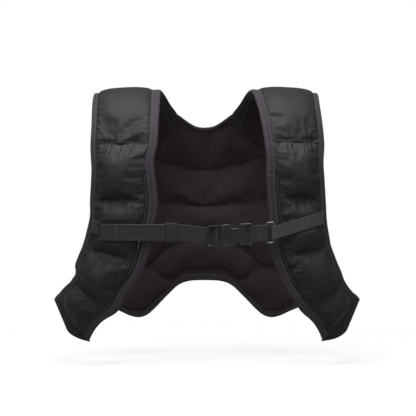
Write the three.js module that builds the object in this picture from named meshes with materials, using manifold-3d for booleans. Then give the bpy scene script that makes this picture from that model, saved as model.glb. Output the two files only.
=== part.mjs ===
// A weighted training vest: quilted front panels that run over the shoulders to a quilted back panel,
// joined round the sides by elastic mesh and across the chest by a webbing strap with a side-release buckle.
// Millimetres, +Z up. The front faces -Y, the wearer's right side is -X, and the origin is the middle of
// the two places under the shoulder pads where the vest sits.
import * as THREE from 'three';
import Module from 'manifold-3d';
import { mergeVertices } from 'three/addons/utils/BufferGeometryUtils.js';

// The body that the vest goes round, measured at the middle of the padding
const HALF_WIDTH = 232;
const HALF_DEPTH = 110;
const SHOULDER_RISE = 147;
const SHOULDER_SLOPE = 13.6;
const STRAIGHT_DROP = 235;
const SIDE_DRAW_IN = 25.6;
const FRONT_DRAW_IN = 12;

// Cloth and padding
const FRONT_PAD = 27;
const BACK_PAD = 17;
const SEAM_THICKNESS = 4;
const BINDING_WIDTH = 11;
const BINDING_THICKNESS = 5.4;
const SIDE_MESH_THICKNESS = 3;
const ZIP_WIDTH = 6;
const ZIP_END_WIDTH = 1;
const ZIP_THICKNESS = 2.4;
const BACK_FULL_HEIGHT = 45;
const GAP = 0.3;

// Chest strap and its hardware
const WEBBING_WIDTH = 25;
const WEBBING_THICKNESS = 1.6;
const SLEEVE_THICKNESS = 3;
const KEEPER_LENGTH = 17;
const KEEPER_WALL = 1.5;
const ANCHOR_WIDTH = 19;
const LEFT_ANCHOR_RISE = 6;
const ELASTIC_THICKNESS = 1.4;
const TAIL_CLEAR = 4;
const RIGHT_TAIL = 1.5;
const BUCKLE_HEIGHT = 31;
const BUCKLE_THICKNESS = 10;
const BUCKLE_CORNER = 3;
const JOINT_CORNER = 1;
const BUCKLE_RIM = 2.2;
const BUCKLE_BAR = 3.6;
const BAR_THICKNESS = 3;
const MALE_LENGTH = 20.5;
const MALE_THICKNESS = 8;
const MALE_BODY = 2.9;
const FEMALE_LENGTH = 43.4;
const FEMALE_BAR = 4.9;
const PRONG_LENGTH = 27;
const PRONG_SPAN = 25;
const PRONG_WIDTH = 5;
const PRONG_THICKNESS = 4.8;
const DIP_DEPTH = 6.5;
const DIP_SLOPE = 2.2;
const TAB_RISE = 2.4;
const TAB_CLEAR = 1.5;
const DIP_FROM = 0.24;
const DIP_TO = 0.6;
const RING_LENGTH = 14;
const RING_BAR = 3;
const RING_CORNER = 2;
const BAR_TAPER = 4;
const SLIDER_LENGTH = 9;
const SLIDER_WIDTH = 5.2;
const SLIDER_THICKNESS = 3;
const PULL_LENGTH = 10;

// Shares that place things on the body: across is a share of HALF_WIDTH from the middle, -X side negative,
// and run is a share of the cloth's run from the ridge of the shoulder to the lowest tip, negative behind
const ROUNDNESS = 2.5;
const SIDE_DRAW_FROM = 0.74;
const FRONT_DRAW_FROM = 0.36;
const SEAT_ACROSS = 0.52;
const BACK_SHIFT = -0.015;
const STRAP_RUN = 0.6285;
const BUCKLE_ACROSS = 0.095;
const STRAP_SAG = 5;
const RING_ACROSS = 0.397;
const SLEEVE_END_ACROSS = -0.26;
const ANCHOR_SLOPE = 0.3;

const SHOULDER_RUN = (Math.PI / 2) * Math.hypot(HALF_DEPTH, SHOULDER_RISE) / Math.SQRT2;
const RUN = SHOULDER_RUN + STRAIGHT_DROP;

// One row for each seam or bend of the strap of padding that runs from the yoke, over the shoulder and
// down the front. seam: 1 where a quilting seam crosses, and full is the share of FRONT_PAD below it.
const LEFT_ROWS = [
  { innerAcross: -0.2, innerRun: -0.204, outerAcross: -0.735, outerRun: -0.3, bow: 0.09, seam: 1, full: 0.65 },
  { innerAcross: -0.258, innerRun: -0.13, outerAcross: -0.74, outerRun: -0.15, bow: 0.01, seam: 1, full: 0.62 },
  { innerAcross: -0.302, innerRun: 0.000, outerAcross: -0.742, outerRun: 0.000, bow: 0, seam: 0 },
  { innerAcross: -0.303, innerRun: 0.146, outerAcross: -0.744, outerRun: 0.146, bow: 0, seam: 0 },
  { innerAcross: -0.306, innerRun: 0.252, outerAcross: -0.741, outerRun: 0.255, bow: 0, seam: 0 },
  { innerAcross: -0.313, innerRun: 0.343, outerAcross: -0.744, outerRun: 0.337, bow: 0, seam: 1, full: 0.95 },
  { innerAcross: -0.334, innerRun: 0.393, outerAcross: -0.739, outerRun: 0.388, bow: 0, seam: 0 },
  { innerAcross: -0.324, innerRun: 0.448, outerAcross: -0.735, outerRun: 0.428, bow: 0, seam: 0 },
  { innerAcross: -0.309, innerRun: 0.520, outerAcross: -0.744, outerRun: 0.520, bow: 0, seam: 1, full: 0.9 },
  { innerAcross: -0.321, innerRun: 0.580, outerAcross: -0.744, outerRun: 0.570, bow: 0, seam: 0 },
  { innerAcross: -0.347, innerRun: 0.647, outerAcross: -0.761, outerRun: 0.614, bow: 0, seam: 0 },
  { innerAcross: -0.381, innerRun: 0.727, outerAcross: -0.791, outerRun: 0.671, bow: 0, seam: 1, full: 1 },
  { innerAcross: -0.436, innerRun: 0.787, outerAcross: -0.841, outerRun: 0.736, bow: 0, seam: 0 },
  { innerAcross: -0.500, innerRun: 0.831, outerAcross: -0.838, outerRun: 0.760, bow: 0, seam: 0 },
  { innerAcross: -0.577, innerRun: 0.892, outerAcross: -0.855, outerRun: 0.787, bow: 0, seam: 1, full: 0.8 },
  { innerAcross: -0.722, innerRun: 0.935, outerAcross: -0.900, outerRun: 0.808, bow: 0, seam: 0 },
  { innerAcross: -0.850, innerRun: 0.998, outerAcross: -0.956, outerRun: 0.840, bow: 0, seam: 1 },
];
const RIGHT_ROWS = [
  { innerAcross: 0.17, innerRun: -0.204, outerAcross: 0.705, outerRun: -0.3, bow: 0.09, seam: 1, full: 0.65 },
  { innerAcross: 0.232, innerRun: -0.13, outerAcross: 0.718, outerRun: -0.15, bow: 0.01, seam: 1, full: 0.62 },
  { innerAcross: 0.282, innerRun: 0.000, outerAcross: 0.728, outerRun: 0.000, bow: 0, seam: 0 },
  { innerAcross: 0.310, innerRun: 0.131, outerAcross: 0.730, outerRun: 0.147, bow: 0, seam: 0 },
  { innerAcross: 0.341, innerRun: 0.242, outerAcross: 0.739, outerRun: 0.237, bow: 0, seam: 0 },
  { innerAcross: 0.364, innerRun: 0.333, outerAcross: 0.749, outerRun: 0.333, bow: 0, seam: 1, full: 0.95 },
  { innerAcross: 0.376, innerRun: 0.392, outerAcross: 0.742, outerRun: 0.398, bow: 0, seam: 0 },
  { innerAcross: 0.375, innerRun: 0.448, outerAcross: 0.748, outerRun: 0.453, bow: 0, seam: 0 },
  { innerAcross: 0.381, innerRun: 0.507, outerAcross: 0.756, outerRun: 0.523, bow: 0, seam: 1, full: 0.9 },
  { innerAcross: 0.394, innerRun: 0.580, outerAcross: 0.764, outerRun: 0.594, bow: 0, seam: 0 },
  { innerAcross: 0.397, innerRun: 0.647, outerAcross: 0.781, outerRun: 0.648, bow: 0, seam: 0 },
  { innerAcross: 0.410, innerRun: 0.713, outerAcross: 0.791, outerRun: 0.675, bow: 0, seam: 1, full: 1 },
  { innerAcross: 0.448, innerRun: 0.760, outerAcross: 0.831, outerRun: 0.729, bow: 0, seam: 0 },
  { innerAcross: 0.512, innerRun: 0.831, outerAcross: 0.858, outerRun: 0.760, bow: 0, seam: 0 },
  { innerAcross: 0.609, innerRun: 0.892, outerAcross: 0.879, outerRun: 0.791, bow: 0, seam: 1, full: 0.8 },
  { innerAcross: 0.722, innerRun: 0.935, outerAcross: 0.914, outerRun: 0.819, bow: 0, seam: 0 },
  { innerAcross: 0.830, innerRun: 0.996, outerAcross: 0.947, outerRun: 0.838, bow: 0, seam: 1 },
];

// Rows of those tables where pieces begin and end
const FRONT_SEAM_ROW = 5;
const ZIP_FIRST_ROW = 6.5;
const ZIP_LAST_ROW = 13.7;
const STRAP_ROW = 9.5;
const STRAP_PILLOW_ROW = 8;
const LEFT_ANCHOR_ROW = 10;
const SLIDER_ROW = 10;

// The seams of the back panel, each as across measured from the panel's own middle, with its run
const NECK = [[0, 0.266], [0.06, 0.260], [0.12, 0.238], [0.185, 0.204]];
const SEAM_A = [[0, 0.410], [0.12, 0.407], [0.24, 0.392], [0.36, 0.375], [0.5, 0.385], [0.665, 0.400]];
const SEAM_B = [[0, 0.536], [0.2, 0.532], [0.4, 0.525], [0.64, 0.520]];
const SEAM_C = [[0, 0.660], [0.175, 0.677], [0.28, 0.702], [0.39, 0.752], [0.7, 0.765], [0.86, 0.755]];
const SEAM_D = [
  [0, 0.770], [0.15, 0.774], [0.24, 0.807], [0.36, 0.772], [0.44, 0.770], [0.6, 0.785], [0.86, 0.775],
];
const HEM = [
  [0, 0.810], [0.12, 0.814], [0.19, 0.830], [0.25, 0.860], [0.4, 0.928], [0.48, 0.944], [0.55, 0.937],
  [0.62, 0.918], [0.7, 0.900], [0.86, 0.875],
];
const BACK_SECTIONS = [
  { top: null, bottom: SEAM_A, flare: 1, full: 0.8 },
  { top: SEAM_A, bottom: SEAM_B, flare: 1, full: 1 },
  { top: SEAM_B, bottom: SEAM_C, flare: 1.9, full: 1 },
  { top: SEAM_C, bottom: SEAM_D, flare: 1, full: 1 },
  { top: SEAM_D, bottom: HEM, flare: 1, full: 0.9 },
];
const NECK_HALF = 0.185;
const YOKE_HALF = 0.72;
const NECK_COLUMNS = [0, 0.08, 0.16, 0.22];

// The elastic mesh at each side: where its top and bottom edges pass, turn being 0 in front and 1 behind
const SIDE_ROWS = [
  { topTurn: 0.450, topRun: 0.860, bottomTurn: 0.355, bottomRun: 0.990 },
  { topTurn: 0.510, topRun: 0.868, bottomTurn: 0.445, bottomRun: 0.970 },
  { topTurn: 0.585, topRun: 0.862, bottomTurn: 0.550, bottomRun: 0.938 },
];

// How far through a pillow the mesh rows lie, and where its columns lie across
const PILLOW_STEPS = [0, 0.1, 1 / 3, 0.5, 2 / 3, 0.9, 1];
const RIDGE_STEPS = [0, 0.05, 0.13, 0.21, 0.29, 0.37, 0.45, 0.54, 0.64, 0.75, 0.85, 0.95, 1];
const BACK_STEPS = [0, 0.14, 0.5, 0.86, 1];
const ACROSS_STEPS = [0, 0.1, 0.25, 0.4, 0.55, 0.75, 0.9, 1];
const SLEEVE_STEPS = [0.75, 0.65, 0.55, 0.4, 0.25];
const LEFT_ANCHOR_STEPS = [0.775, 0.84, 0.9, 0.95];
const RIGHT_ANCHOR_STEPS = [0.25, 0.4, 0.55, 0.75, 0.9, 0.96];

const wasm = await Module();
wasm.setup();

const group = new THREE.Group();

const finish = (color, roughness) => new THREE.MeshStandardMaterial({ color, roughness, metalness: 0 });
const SHELL = finish(0x2c2b2e, 0.7);
const LINING = finish(0x231d1f, 0.8);
const BINDING = finish(0x332f35, 0.75);
const SIDE_MESH = finish(0x2f302d, 0.9);
const WEBBING = finish(0x242326, 0.7);
const ELASTIC = finish(0x3b3a3c, 0.8);
const ACETAL = finish(0x121214, 0.35);
const COIL = finish(0x18181a, 0.45);

const add = (name, geometry, material) => {
  const mesh = new THREE.Mesh(geometry, material);
  mesh.name = name;
  group.add(mesh);
};

// Angle round the body of a share of its half width: 0 in front, a quarter turn at the side
const turnOf = (across) => Math.sign(across) * Math.asin(Math.min(Math.abs(across), 1) ** (ROUNDNESS / 2));

// A power that keeps the sign, which rounds the body's section
const rounded = (value) => Math.sign(value) * Math.abs(value) ** (2 / ROUNDNESS);

// The body's surface before it is lowered to the origin
const bodyForm = (turn, runShare) => {
  const behind = runShare < 0;
  const angle = behind ? Math.PI - Math.abs(turn) : Math.abs(turn);
  const run = Math.abs(runShare) * RUN;
  const arch = Math.min(run / SHOULDER_RUN, 1) * Math.PI / 2;
  const straight = Math.max(run - SHOULDER_RUN, 0);
  const low = straight / STRAIGHT_DROP;
  const sideDraw = Math.max(low - SIDE_DRAW_FROM, 0) / (1 - SIDE_DRAW_FROM);
  const frontDraw = Math.max(low - FRONT_DRAW_FROM, 0) / (1 - FRONT_DRAW_FROM);
  const halfWidth = HALF_WIDTH - SIDE_DRAW_IN * sideDraw;
  const halfDepth = HALF_DEPTH - FRONT_DRAW_IN * frontDraw ** 2 * Math.max(Math.cos(angle), 0);
  const out = rounded(Math.sin(angle));
  const rise = SHOULDER_RISE - SHOULDER_SLOPE * out;
  return new THREE.Vector3(
    (turn < 0 ? -1 : 1) * halfWidth * out,
    -halfDepth * rounded(Math.cos(angle)) * Math.sin(arch),
    rise * Math.cos(arch) - straight,
  );
};

// The underside of the shoulder pads is the origin's height
const SHOULDER_FULL = LEFT_ROWS[1].full;
const SEAT_HEIGHT = bodyForm(turnOf(SEAT_ACROSS), 0).z - FRONT_PAD * SHOULDER_FULL / 2;
const onBody = (turn, run) => {
  const point = bodyForm(turn, run);
  point.z -= SEAT_HEIGHT;
  return point;
};

const outward = (turn, run) => {
  const step = 0.002;
  const along = onBody(turn + step, run).sub(onBody(turn - step, run));
  const down = onBody(turn, run + step).sub(onBody(turn, run - step));
  return down.cross(along).normalize();
};

// A place on the body, and a place pulled a distance towards another
const place = (turn, run) => ({ turn, run });
const between = (from, to, share) => place(
  THREE.MathUtils.lerp(from.turn, to.turn, share),
  THREE.MathUtils.lerp(from.run, to.run, share),
);
const distance = (from, to) => onBody(from.turn, from.run).distanceTo(onBody(to.turn, to.run));
const pull = (from, to, length) => between(from, to, length / distance(from, to));

const spot = (at, outside, inside = outside) => ({
  at: onBody(at.turn, at.run),
  out: outward(at.turn, at.run),
  outside,
  inside,
});

// A closed solid from rows of spots: an outer face, an inner face and the rim between them
const padded = (rows) => {
  const count = rows[0].length;
  const positions = [];
  for (const side of ['outside', 'inside']) {
    for (const row of rows) {
      for (const { at, out, [side]: depth } of row) {
        const height = side === 'outside' ? depth : -depth;
        positions.push(...at.clone().addScaledVector(out, height).toArray());
      }
    }
  }
  const back = rows.length * count;
  const index = [];
  const quad = (a, b, c, d) => index.push(a, b, c, a, c, d);
  for (let i = 0; i < rows.length - 1; i += 1) {
    for (let j = 0; j < count - 1; j += 1) {
      const a = i * count + j;
      quad(a, a + count, a + count + 1, a + 1);
      quad(back + a, back + a + 1, back + a + count + 1, back + a + count);
    }
    const first = i * count;
    const last = first + count - 1;
    quad(first, back + first, back + first + count, first + count);
    quad(last, last + count, back + last + count, back + last);
  }
  const end = (rows.length - 1) * count;
  for (let j = 0; j < count - 1; j += 1) {
    quad(j, j + 1, back + j + 1, back + j);
    quad(end + j, back + end + j, back + end + j + 1, end + j + 1);
  }
  const geometry = new THREE.BufferGeometry();
  geometry.setAttribute('position', new THREE.Float32BufferAttribute(positions, 3));
  geometry.setIndex(signedVolume(positions, index) < 0 ? index.reverse() : index);
  return geometry;
};

const signedVolume = (positions, index) => {
  const corner = (k) => new THREE.Vector3().fromArray(positions, 3 * index[k]);
  let volume = 0;
  for (let k = 0; k < index.length; k += 3) {
    volume += corner(k).dot(corner(k + 1).cross(corner(k + 2)));
  }
  return volume;
};

// Half thickness of a pillow: thin at its seams and edges, full in the middle
const SEAM_HALF = SEAM_THICKNESS / 2;
const swell = (through) => Math.sin(Math.PI * through) ** 0.6;
const crown = (across) => 1 - Math.abs(2 * across - 1) ** 3.2;
const pillow = (half, through, across) => SEAM_HALF + (half - SEAM_HALF) * swell(through) * crown(across);

// Half thickness of an edge binding, from its folded edge to where it is sewn down
const BINDING_STEPS = [[0, 0.5], [0.45, 1], [1, 0.85]];
const bindingRow = (edge, sewn) => BINDING_STEPS.map(
  ([share, thick]) => spot(between(edge, sewn, share), thick * BINDING_THICKNESS / 2),
);

// How a bowed row sags between its ends, most at a third of its length
const bowed = (share) => 2.6 * Math.sqrt(Math.max(share, 0)) * (1 - share);

// The strap of padding on one side, as smooth curves through its table
const shoulderStrap = (rows) => {
  const curve = (points) => new THREE.CatmullRomCurve3(points, false, 'catmullrom');
  const inner = curve(rows.map((row) => new THREE.Vector3(turnOf(row.innerAcross), row.innerRun, 0)));
  const outer = curve(rows.map((row) => new THREE.Vector3(turnOf(row.outerAcross), row.outerRun, 0)));
  const last = rows.length - 1;
  const bow = (at) => {
    const low = Math.min(Math.floor(at), last - 1);
    return THREE.MathUtils.lerp(rows[low].bow, rows[low + 1].bow, at - low);
  };
  const point = (at, share) => {
    const from = inner.getPoint(at / last);
    const to = outer.getPoint(at / last);
    const mix = from.lerp(to, share);
    return place(mix.x, mix.y - bow(at) * bowed(share));
  };
  const width = (at) => distance(point(at, 0), point(at, 1));
  const seams = rows.map((row, i) => i).filter((i) => rows[i].seam);
  const pillows = seams.slice(0, -1).map((start, k) => ({ start, end: seams[k + 1], full: rows[start].full }));
  return { rows, point, width, pillows, last };
};

const STRAPS = { left: shoulderStrap(LEFT_ROWS), right: shoulderStrap(RIGHT_ROWS) };

// Mesh rows between two rows of the table, so that neighbours share them
const rowsBetween = (strap, first, final) => {
  const list = [];
  for (const { start, end } of strap.pillows) {
    const steps = end - start > 3 ? RIDGE_STEPS : PILLOW_STEPS;
    for (const step of steps.slice(0, -1)) list.push(start + (end - start) * step);
  }
  list.push(strap.last);
  return list.filter((at) => at > first - 1e-6 && at < final + 1e-6);
};
const nearSeam = (strap, first, final) => {
  const rows = rowsBetween(strap, first, final);
  rows[0] += seamGap(strap, rows[0]);
  rows[rows.length - 1] -= seamGap(strap, rows[rows.length - 1]);
  return rows;
};
// Half of the clearance at a seam between two pieces, as a part of a table row
const seamGap = (strap, at) => {
  const other = at > 1 ? at - 1 : at + 1;
  return GAP / 2 / distance(strap.point(at, 0.5), strap.point(other, 0.5));
};

// Share across a row of a step across its pillow, inside the bindings and the zip
const panelShare = (strap, at, step) => {
  const width = strap.width(at);
  const zip = inZip(at) ? zipWidth(at) + GAP : 0;
  const low = (BINDING_WIDTH + GAP + zip) / width;
  const high = 1 - (BINDING_WIDTH + GAP) / width;
  return THREE.MathUtils.lerp(low, high, step);
};
const inZip = (at) => at > ZIP_FIRST_ROW - 1e-6 && at < ZIP_LAST_ROW + 1e-6;
const atZipEnd = (at) => Math.min(Math.abs(at - ZIP_FIRST_ROW), Math.abs(at - ZIP_LAST_ROW)) < 1e-6;
const zipWidth = (at) => (atZipEnd(at) ? ZIP_END_WIDTH : ZIP_WIDTH);
const bindingShare = (strap, at) => BINDING_WIDTH / strap.width(at);

const strapPiece = (strap, first, final) => nearSeam(strap, first, final).map((at) => {
  const whole = strap.pillows.find(({ start, end }) => at >= start - 0.5 * GAP && at <= end + 0.5 * GAP);
  const through = THREE.MathUtils.clamp((at - whole.start) / (whole.end - whole.start), 0, 1);
  return ACROSS_STEPS.map((across) => spot(
    strap.point(at, panelShare(strap, at, across)),
    pillow(whole.full * FRONT_PAD / 2, through, across),
  ));
});

for (const [side, strap] of Object.entries(STRAPS)) {
  add(`shoulder_${side}`, padded(strapPiece(strap, 0, FRONT_SEAM_ROW)), SHELL);
  add(`front_panel_${side}`, padded(strapPiece(strap, FRONT_SEAM_ROW, strap.last)), SHELL);
  add(`front_binding_${side}`, padded(nearSeam(strap, 0, strap.last).map(
    (at) => bindingRow(strap.point(at, 0), strap.point(at, bindingShare(strap, at))),
  )), BINDING);
  add(`zipper_${side}`, padded(rowsBetween(strap, ZIP_FIRST_ROW, ZIP_LAST_ROW).map((at) => {
    const width = strap.width(at);
    return [0, 0.5, 1].map((across) => spot(
      strap.point(at, (BINDING_WIDTH + GAP + zipWidth(at) * across) / width),
      ZIP_THICKNESS / 2,
    ));
  })), COIL);
}

// Run of a back seam at a share across, smoothly through its table
const runAt = (table, half) => {
  const slope = (k) => {
    const low = table[Math.max(k - 1, 0)];
    const high = table[Math.min(k + 1, table.length - 1)];
    return k === 0 ? 0 : (high[1] - low[1]) / (high[0] - low[0]);
  };
  const k = Math.min(table.findIndex(([across]) => across >= half - 1e-9), table.length - 1);
  if (k === 0) return table[0][1];
  const [from, to] = [table[k - 1], table[k]];
  const span = to[0] - from[0];
  const s = (half - from[0]) / span;
  return from[1] * (2 * s ** 3 - 3 * s ** 2 + 1) + slope(k - 1) * span * (s ** 3 - 2 * s ** 2 + s)
    + to[1] * (3 * s ** 2 - 2 * s ** 3) + slope(k) * span * (s ** 3 - s ** 2);
};
const halfOf = (table) => table[table.length - 1][0];
const behind = (sign, half, run) => place(turnOf(BACK_SHIFT + sign * half), -run);

// Where the yoke seam leaves the neck binding
const yokeStart = (sign) => {
  const strap = sign < 0 ? STRAPS.left : STRAPS.right;
  return strap.point(0, bindingShare(strap, 0));
};

// Columns of the back panel: those at the yoke seam meet the shoulder's own, point for point
const yokeColumns = (sign) => {
  const strap = sign < 0 ? STRAPS.left : STRAPS.right;
  const low = (BINDING_WIDTH + GAP) / strap.width(0);
  return ACROSS_STEPS.map((step) => {
    const yoke = strap.point(0, THREE.MathUtils.lerp(low, 1 - low, step));
    const across = rounded(Math.sin(yoke.turn));
    return { sign, yoke, share: step === 1 ? 1 : Math.abs(across - BACK_SHIFT) / YOKE_HALF };
  });
};
const neckColumn = (sign, share) => ({ sign, share, yoke: null });
const columns = [
  ...yokeColumns(-1).reverse(),
  ...NECK_COLUMNS.slice(1).map((share) => neckColumn(-1, share)).reverse(),
  ...NECK_COLUMNS.map((share) => neckColumn(1, share)),
  ...yokeColumns(1),
];
const down = (at, length) => place(at.turn, at.run - length / RUN);

// The top edge: along the yoke seams, and under the neck binding between them
const topPoint = ({ sign, share, yoke }) => {
  if (yoke) return down(yoke, GAP);
  const half = share * YOKE_HALF;
  return down(behind(sign, half, runAt(NECK, half)), BINDING_WIDTH + GAP);
};
const seamPoint = (table, { sign, share, yoke }) => {
  if (table === null) return topPoint({ sign, share, yoke });
  const half = share * halfOf(table);
  const lift = table === HEM ? BINDING_WIDTH + GAP : 0;
  return behind(sign, half, runAt(table, half) - lift / RUN);
};

const backRows = [];
BACK_SECTIONS.forEach(({ top, bottom, flare, full }, index) => {
  const steps = index === BACK_SECTIONS.length - 1 ? BACK_STEPS : BACK_STEPS.slice(0, -1);
  for (const step of steps) {
    backRows.push({ top, bottom, flare, full, step, bound: index < 4 || step === 0 });
  }
});
const backPoint = (row, column) => {
  const [from, to] = [seamPoint(row.top, column), seamPoint(row.bottom, column)];
  const eased = row.step ** row.flare;
  return place(
    THREE.MathUtils.lerp(from.turn, to.turn, eased),
    THREE.MathUtils.lerp(from.run, to.run, row.step),
  );
};
const outerColumn = (sign) => {
  const strap = sign < 0 ? STRAPS.left : STRAPS.right;
  return { sign, share: 1, yoke: strap.point(0, 1) };
};
const backEdge = (row, sign, inset) => {
  if (row.top === null && row.step === 0) {
    const strap = sign < 0 ? STRAPS.left : STRAPS.right;
    return down(strap.point(0, 1 - inset / strap.width(0)), GAP);
  }
  const edge = backPoint(row, outerColumn(sign));
  const inner = columns[sign < 0 ? 1 : columns.length - 2];
  return pull(edge, backPoint(row, inner), inset);
};
const backSpot = (row, column) => {
  const inset = row.bound ? BINDING_WIDTH + GAP : GAP;
  const at = column.share === 1 ? backEdge(row, column.sign, inset) : backPoint(row, column);
  const height = distance(seamPoint(row.top, column), seamPoint(row.bottom, column));
  const fullness = row.full * Math.min(height / BACK_FULL_HEIGHT, 1);
  const half = SEAM_HALF + (BACK_PAD / 2 - SEAM_HALF) * fullness;
  return spot(at, pillow(half, row.step, 0.5 + column.share * 0.5));
};
add('back_panel', padded(backRows.map((row) => columns.map((column) => backSpot(row, column)))), LINING);

// Neck binding between the two yoke seams
const neckColumns = columns.filter(({ yoke }) => yoke === null);
const neckMiddle = neckColumns.map(({ sign, share }) => {
  const edge = behind(sign, share * YOKE_HALF, runAt(NECK, share * YOKE_HALF));
  return [edge, down(edge, BINDING_WIDTH)];
});
const neckEnd = (sign, next) => {
  const edge = behind(sign, NECK_HALF, runAt(NECK, NECK_HALF));
  return [pull(edge, next[0], GAP), pull(yokeStart(sign), next[1], GAP)];
};
add('neck_binding', padded([
  neckEnd(-1, neckMiddle[0]),
  ...neckMiddle,
  neckEnd(1, neckMiddle[neckMiddle.length - 1]),
].map(([edge, sewn]) => bindingRow(edge, sewn))), BINDING);

// Hem binding along the foot of the back panel
add('hem_binding', padded(columns.map(({ sign, share }) => {
  const half = share * halfOf(HEM);
  const edge = behind(sign, half, runAt(HEM, half));
  return [edge, down(edge, -BINDING_WIDTH)];
}).map(([edge, sewn], i, list) => {
  if (i > 0 && i < list.length - 1) return bindingRow(edge, sewn);
  const next = list[i === 0 ? 1 : list.length - 2];
  return bindingRow(pull(edge, next[0], GAP), pull(sewn, next[1], GAP));
})), BINDING);

// Armhole bindings: up the outer edge of the front, over the shoulder and down the back to the wing
for (const [side, strap] of Object.entries(STRAPS)) {
  const sign = side === 'left' ? -1 : 1;
  const front = nearSeam(strap, 0, strap.last).reverse().map(
    (at) => [strap.point(at, 1), strap.point(at, 1 - bindingShare(strap, at))],
  );
  const back = backRows.filter(({ bound }) => bound).map(
    (row) => [backPoint(row, outerColumn(sign)), backEdge(row, sign, BINDING_WIDTH)],
  );
  const tape = [...front, ...back].map(([edge, sewn]) => bindingRow(edge, sewn));
  add(`armhole_binding_${side}`, padded(tape), BINDING);
}

// Elastic mesh from the front tip round the side to the back wing
const SIDE_STEPS = [0, 0.14, 0.3, 0.5, 0.7, 0.86, 1];
const SIDE_GAP = 2 * GAP;
for (const [side, strap] of Object.entries(STRAPS)) {
  const sign = side === 'left' ? -1 : 1;
  const wing = halfOf(HEM);
  const wingTurn = sign * Math.PI - turnOf(BACK_SHIFT + sign * wing);
  const corners = [
    { top: strap.point(strap.last, 1), bottom: strap.point(strap.last, 0) },
    ...SIDE_ROWS.map((row) => ({
      top: place(sign * row.topTurn * Math.PI, row.topRun),
      bottom: place(sign * row.bottomTurn * Math.PI, row.bottomRun),
    })),
    { top: place(wingTurn, runAt(SEAM_D, halfOf(SEAM_D))), bottom: place(wingTurn, runAt(HEM, wing)) },
  ];
  const edges = ['top', 'bottom'].map((edge) => new THREE.CatmullRomCurve3(
    corners.map((corner) => new THREE.Vector3(corner[edge].turn, corner[edge].run, 0)),
    false,
    'catmullrom',
  ));
  const steps = 14;
  const pairs = Array.from({ length: steps + 1 }, (_, i) => edges.map((edge) => {
    const point = edge.getPoint(i / steps);
    return place(point.x, point.y);
  }));
  pairs[0] = pairs[0].map((end, k) => pull(end, pairs[1][k], SIDE_GAP));
  pairs[steps] = pairs[steps].map((end, k) => pull(end, pairs[steps - 1][k], SIDE_GAP));
  add(`side_mesh_${side}`, padded(pairs.map(([top, bottom]) => SIDE_STEPS.map(
    (share) => spot(between(top, bottom, share), SIDE_MESH_THICKNESS / 2),
  ))), SIDE_MESH);
}

// Webbing as a strip of even thickness: its path is seen from above, as x and y, and its width stands
// upright about the strap's height
const strapHeight = onBody(0, STRAP_RUN).z;
const strip = (path, width, thickness) => {
  const directions = path.slice(1).map((point, i) => point.clone().sub(path[i]).normalize());
  const spots = path.map((point, i) => {
    const before = directions[Math.max(i - 1, 0)];
    const after = directions[Math.min(i, directions.length - 1)];
    const along = before.clone().add(after).normalize();
    return { point, out: new THREE.Vector3(-along.y, along.x, 0), half: thickness / 2 / along.dot(after) };
  });
  return padded([1, -1].map((side) => spots.map(({ point, out, half }) => ({
    at: new THREE.Vector3(point.x, point.y, strapHeight + side * width / 2), out, outside: half, inside: half,
  }))));
};
// Lifts a strip at an even slope past a place, on the side that the sign gives
const leaning = (geometry, from, sign) => {
  const position = geometry.getAttribute('position');
  for (let i = 0; i < position.count; i += 1) {
    const beyond = Math.max(sign * (position.getX(i) - from), 0);
    position.setZ(i, position.getZ(i) + ANCHOR_SLOPE * beyond);
  }
  return geometry;
};

// The crest of the pillow under the strap, seen from above, with room for what lies on it
const crest = (strap, step, thickness, row = STRAP_ROW) => {
  const at = strap.point(row, panelShare(strap, row, step));
  const height = (across) => pillow(strap.rows[STRAP_PILLOW_ROW].full * FRONT_PAD / 2, 0.5, across);
  const nearby = 0.04;
  const panelWidth = strap.width(row) * (panelShare(strap, row, 1) - panelShare(strap, row, 0));
  const steepness = (height(step + nearby) - height(step - nearby)) / (2 * nearby * panelWidth);
  const lift = height(step) + (GAP + thickness / 2) * Math.hypot(1, steepness);
  const point = onBody(at.turn, at.run).addScaledVector(outward(at.turn, at.run), lift);
  return new THREE.Vector2(point.x, point.y);
};

// The sleeve sewn over the left end of the strap, from the crest of the pillow to the keeper
const sleeveCrest = SLEEVE_STEPS.map((step) => crest(STRAPS.left, step, SLEEVE_THICKNESS));
const strapY = sleeveCrest[sleeveCrest.length - 1].y;
const ahead = (x, front) => new THREE.Vector2(x, strapY - front);
const sleeveEnd = SLEEVE_END_ACROSS * HALF_WIDTH;
add('strap_sleeve', strip([...sleeveCrest, ahead(sleeveEnd, 0)], WEBBING_WIDTH, SLEEVE_THICKNESS), WEBBING);
const anchorLeft = LEFT_ANCHOR_STEPS.map(
  (step) => crest(STRAPS.left, step, ELASTIC_THICKNESS, LEFT_ANCHOR_ROW),
);
const leftTape = strip(anchorLeft.reverse(), ANCHOR_WIDTH, ELASTIC_THICKNESS);
leftTape.translate(0, 0, LEFT_ANCHOR_RISE);
add('anchor_tape_left', leaning(leftTape, anchorLeft[anchorLeft.length - 1].x, -1), ELASTIC);

// The keeper is a short elastic loop round the strap beside the sleeve
const box = (length, depth, height) => new THREE.BoxGeometry(length, depth, height);
const outline = (length, height, radius) => {
  const shape = new THREE.Shape();
  const [x, y] = [length / 2, height / 2];
  shape.moveTo(-x + radius, -y);
  shape.lineTo(x - radius, -y);
  shape.absarc(x - radius, -y + radius, radius, -Math.PI / 2, 0);
  shape.absarc(x - radius, y - radius, radius, 0, Math.PI / 2);
  shape.absarc(-x + radius, y - radius, radius, Math.PI / 2, Math.PI);
  shape.absarc(-x + radius, -y + radius, radius, Math.PI, 1.5 * Math.PI);
  return shape;
};
const keeperHole = { depth: WEBBING_THICKNESS + 2 * GAP, height: WEBBING_WIDTH + 2 * GAP };
const keeperSize = { depth: keeperHole.depth + 2 * KEEPER_WALL, height: keeperHole.height + 2 * KEEPER_WALL };
const keeperShape = outline(keeperSize.height, keeperSize.depth, KEEPER_WALL);
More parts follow.
